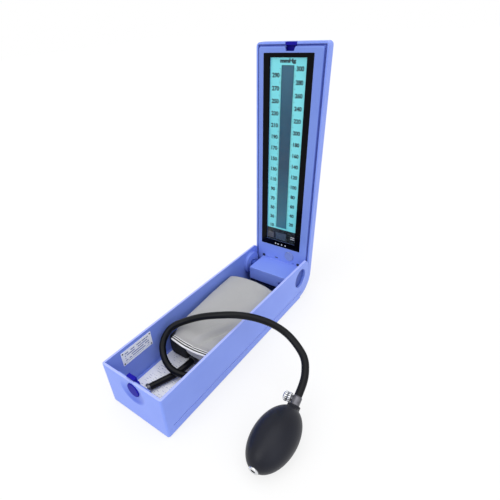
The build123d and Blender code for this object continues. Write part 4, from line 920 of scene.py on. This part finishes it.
def flapSurface(sizes):
    # Straight between the two edges from left to right; both ends bow outwards, and the height
    # falls at the back, the sides and the hem and along a slanting crease
    rows, columns = sizes["rows"], sizes["columns"]
    share = np.linspace(0, 1, rows)
    left, right = np.array(sizes["left"]), np.array(sizes["right"])
    knots = lengthAlong(right) / lengthAlong(right)[-1]

    def along(edge):
        # The edge's line, evened by a moving mean that is heaviest in its middle
        reach = sizes["soften"]
        soften = np.hanning(2 * reach + 1) / np.hanning(2 * reach + 1).sum()
        curve = pointsAt(share, knots, edge)
        padded = np.pad(curve, ((reach, reach), (0, 0)), mode="reflect", reflect_type="odd")
        return np.stack([np.convolve(row, soften, mode="valid") for row in padded.T], -1)

    across = np.linspace(0, 1, columns)[None, :]
    flat = along(left)[:, None] + (along(right) - along(left))[:, None] * across[..., None]
    bow = np.sin(math.pi * across) ** sizes["bowPower"]
    for shift, fromEnd in ((sizes["rearBow"], share), (-sizes["hemBow"], 1 - share)):
        end = np.clip(1 - fromEnd / sizes["bowShare"], 0, 1)[:, None]
        flat[..., 1] += shift * bow * end ** 2
    height = np.full((rows, columns), sizes["top"])
    fromRear = np.clip(1 - (flat[:1, :, 1] - flat[..., 1]) / sizes["rearRun"], 0, 1)
    height -= sizes["rearDrop"] * (1 - np.sqrt(1 - sizes["rearSteep"] * fromRear ** 2))
    toHem = np.clip(1 - (flat[..., 1] - flat[-1:, :, 1]) / sizes["hemRun"], 0, 1)
    height -= (sizes["top"] - sizes["hemHeight"]) * toHem * toHem * (3 - 2 * toHem)
    height -= sizes["edgeDrop"] * np.abs(2 * across - 1) ** sizes["edgePower"]
    start, end = np.array(sizes["creaseFrom"]), np.array(sizes["creaseTo"])
    run = np.linalg.norm(end - start)
    way = (end - start) / run
    away = (flat - start) @ np.array([-way[1], way[0]])
    ahead = np.clip((flat - start) @ way / run, 0, 1)
    fade = np.sin(math.pi * ahead) ** sizes["creasePower"]
    height -= sizes["creaseDepth"] * np.exp(-(away / sizes["creaseWidth"]) ** 2) * fade
    beside = (away - sizes["liftAway"]) / sizes["liftWidth"]
    height += sizes["creaseLift"] * np.exp(-beside ** 2) * fade
    for size, scale, seed in sizes["ripples"]:
        height += size * softNoise(flat, scale, seed)
    return np.concatenate([flat, height[..., None]], -1)


flapTop = flapSurface(flapSizes)
flapFaces = gridFaces(flapSizes["rows"], flapSizes["columns"], closed=False)
cuffFlap = tidyNormals(makePiece("cuffFlap", mm * flapTop, flapFaces, "cuffCloth", "case"))
if sum(face.normal.z for face in cuffFlap.data.polygons) < 0:
    cuffFlap.data.flip_normals()
thick = cuffFlap.modifiers.new("thick", "SOLIDIFY")
thick.thickness = mm * flapSizes["thickness"]
thick.offset = -1

# Under the flap: a grey fold at the right and a dark lining at the left, made near black to stand
# in for the shade under the flap as well
underShape = {"power": 0.42, "rows": 40, "columns": 64, "scale": 0.14, "seed": 21,
              "ripple": (0, 0.7, 0.42)}
underSizes = {"cuff_fold": {"low": (-9.0, -79.0, 25.2), "high": (41.0, -52.0, 43.0),
                            "cloth": "cuffCloth"},
              "cuff_lining": {"low": (-40.5, -76.0, 6.6), "high": (-8.0, -52.0, 41.0),
                              "cloth": "hemDark"}}
for name, sizes in underSizes.items():
    points, faces = roundedPad({**underShape, **sizes})
    ripple = softNoise(points[..., :2], underShape["scale"], underShape["seed"])
    points = points + ripple[..., None] * underShape["ripple"]
    piece = tidyNormals(makePiece(name, mm * points, faces, sizes["cloth"], "case"))

# Piping along the hem: how far each cord is set back from the edge, its radius, its lift and
# its cloth
hemCords = ((0.1, 1.35, -1.0, "hemPale"), (1.7, 0.9, -0.2, "hemDark"),
            (3.3, 0.8, -0.1, "hemPale"), (4.7, 0.62, -0.1, "hemDark"),
            (5.9, 0.5, -0.1, "hemPale"))
cordSides = 12


def hemLine(back, lift):
    # The line across the flap this far behind its front edge
    step = np.linalg.norm(flapTop[-2] - flapTop[-1], axis=-1).mean()
    depth = flapSizes["rows"] - 1 - back / step
    low = int(depth)
    line = flapTop[low] + (flapTop[low + 1] - flapTop[low]) * (depth - low)
    return line + (0, 0, lift)


for number, (back, radius, lift, finish) in enumerate(hemCords):
    points, faces = tubeAlong(mm * hemLine(back, lift), mm * radius, cordSides, (0.0, 0.0, 1.0))
    tidyNormals(makePiece(f"hemCord{number}", points, faces, finish, "case"))

# Two rows of stitches behind the piping, each stitch a short thread that dips at both ends
stitchSizes = {"back": (8.2, 10.0), "lift": 0.12, "long": 2.1, "pitch": 3.1, "thick": 0.3,
               "first": 1.5, "last": 3.0, "points": 6, "sides": 6, "arch": 0.25, "sink": 0.15}


def sewStitches(sizes):
    parts = []
    share = np.linspace(0, 1, sizes["points"])
    for back in sizes["back"]:
        line = hemLine(back, sizes["lift"])
        far = lengthAlong(line)
        for start in np.arange(sizes["first"], far[-1] - sizes["last"], sizes["pitch"]):
            run = pointsAt(start + sizes["long"] * share, far, line)
            run[:, 2] += sizes["arch"] * np.sin(math.pi * share) - sizes["sink"]
            parts.append(tubeAlong(run, sizes["thick"], sizes["sides"], (0.0, 0.0, 1.0)))
    tidyNormals(makeJoined("hemStitches", parts, "stitchThread", "case", smooth=True))


sewStitches(stitchSizes)
print("cuff made")


# Release knob: a turned form with two rows of raised squares round it, and a neck between; the
# valleys between the squares and the neck are painted dark as shade
knobSizes = {"root": (151.4526, -68.5125, 35.2767), "along": (-0.996776, -0.072365, -0.034654),
             "start": 6.0, "sides": 156, "squares": 13, "deep": 0.13, "sharpness": 5,
             "profile": [(0.0, 0.02), (0.0, 4.9), (0.35, 5.7), (0.7, 5.9), (3.2, 5.9), (3.4, 5.5),
                         (3.7, 5.1), (4.2, 5.1), (4.5, 5.5), (4.7, 5.9), (7.3, 5.9), (7.7, 5.7),
                         (8.0, 5.0), (8.7, 4.7), (8.7, 0.02)],
             "banded": [0, 0, 0.5, 1, 1, 0.6, 0, 0, 0.6, 1, 1, 0.5, 0, 0, 0],
             "neckRows": (6, 7)}
# The groove colour is painted shade in the knurl's valleys and the neck
knobLook = {"bright": (216, 218, 222), "groove": (22, 22, 26), "metallic": 0.9,
            "roughness": 0.28, "grainScale": 900.0, "grainSwing": 0.1}


def knobFinish(look):
    # Bright metal, painted dark as shade where the piece's groove attribute is 1
    finish = Finish("knobMetal")
    depth = finish.add("ShaderNodeAttribute", {"attribute_name": "groove"}, {}, "Fac")
    finish.set({"Base Color": finish.blend(depth, look["bright"], look["groove"]),
                "Metallic": look["metallic"], "Roughness": finish.grainy(look)})


def makeKnob(sizes):
    banded = np.array(sizes["banded"])[:, None]

    def cut(row, angle):
        # 1 in the valleys between the squares, 0 on top of them
        valley = (0.5 + 0.5 * np.cos(sizes["squares"] * angle)) ** sizes["sharpness"]
        return valley * banded[row[:, 0]]

    start = np.array(sizes["root"]) + sizes["start"] * np.array(sizes["along"])
    points, faces = turnedForm(start, sizes["along"], sizes["profile"], sizes["sides"],
                               lambda row, angle: 1 - sizes["deep"] * cut(row, angle))
    knob = makePiece("knurledKnob", mm * points, faces, "knobMetal", "knob")
    row = np.arange(len(sizes["profile"]))[:, None]
    angle = anglesRound(sizes["sides"])[None, :]
    # Painted shade: 1 in the knurl's valleys and in the neck
    depth = np.maximum(cut(row, angle), np.isin(row, sizes["neckRows"]))
    groove = knob.data.attributes.new("groove", "FLOAT", "POINT")
    groove.data.foreach_set("value", depth.ravel().astype(np.float32))
    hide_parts("release_knob")


knobFinish(knobLook)
makeKnob(knobSizes)

# Rivets that hold the wall plate: quarter ellipses turned round X
rivetSizes = {"places": [(-146.2, 42.6), (-146.2, 59.4), (-100.8, 42.6), (-100.8, 59.4)],
              "x": -44.98, "height": 0.55, "radius": 1.15, "rows": 8, "sides": 20, "tip": 0.02}


def makeRivets(sizes):
    slope = np.linspace(0, math.pi / 2 - sizes["tip"], sizes["rows"])
    profile = np.stack([sizes["height"] * np.sin(slope), sizes["radius"] * np.cos(slope)], -1)
    rivets = [turnedForm((sizes["x"], *place), (1, 0, 0), profile, sizes["sides"])
              for place in sizes["places"]]
    makeJoined("plateRivets", rivets, "screwSteel", "case", smooth=True)


makeRivets(rivetSizes)
print("knob and rivets made")


# Stage: pale floor that keeps the shadow, a white surround and soft light. Each sun has where
# it comes from, its power and its spread in degrees.
stageSizes = {"half": 6.0, "below": 0.0002, "floor": (0.86, 0.86, 0.86, 1.0), "roughness": 0.9,
              "shine": 0.1, "whiter": 0.74, "skylight": 0.73}
sunSizes = {"keySun": ((-0.25, -1.0, 0.75), 0.74, 40), "sideSun": ((1.0, -0.35, 0.6), 0.5, 50),
            "topSun": ((0.1, -0.1, 1.0), 1.02, 60)}
white = (1, 1, 1, 1)


def makeStage(sizes):
    points = [(sizes["half"] * x, sizes["half"] * y, -sizes["below"])
              for x, y in ((-1, -1), (1, -1), (1, 1), (-1, 1))]
    mesh = bpy.data.meshes.new("floor")
    mesh.from_pydata(points, [], [(0, 1, 2, 3)])
    addObject("floor", mesh)
    finish = Finish("floorPaper")
    finish.set({"Base Color": sizes["floor"], "Roughness": sizes["roughness"],
                "Specular IOR Level": sizes["shine"]})
    lit = Wire(finish, finish.shader.outputs[0])
    plain = finish.add("ShaderNodeEmission", {}, {"Color": white, "Strength": 1.0})
    mixed = finish.add("ShaderNodeMixShader", {}, {0: finish.unlit() * sizes["whiter"], 1: lit,
                                                   2: plain})
    finish.feed(finish.tree.nodes["Material Output"].inputs["Surface"], mixed)
    dress(mesh, "floorPaper")

    scene.world = bpy.data.worlds.new("studio")
    sky = NodeSet(scene.world)
    back = sky.tree.nodes["Background"]
    sky.feed(back.inputs["Color"], white)
    sky.feed(back.inputs["Strength"], sky.unlit().most(sizes["skylight"]))


def addSun(name, comesFrom, power, spread):
    data = bpy.data.lights.new(name, "SUN")
    data.energy = power
    data.angle = math.radians(spread)
    lamp = addObject(name, data)
    lamp.rotation_mode = "QUATERNION"
    lamp.rotation_quaternion = (-Vector(comesFrom)).to_track_quat("-Z", "Y")


makeStage(stageSizes)
for name, sizes in sunSizes.items():
    addSun(name, *sizes)
print("stage set")
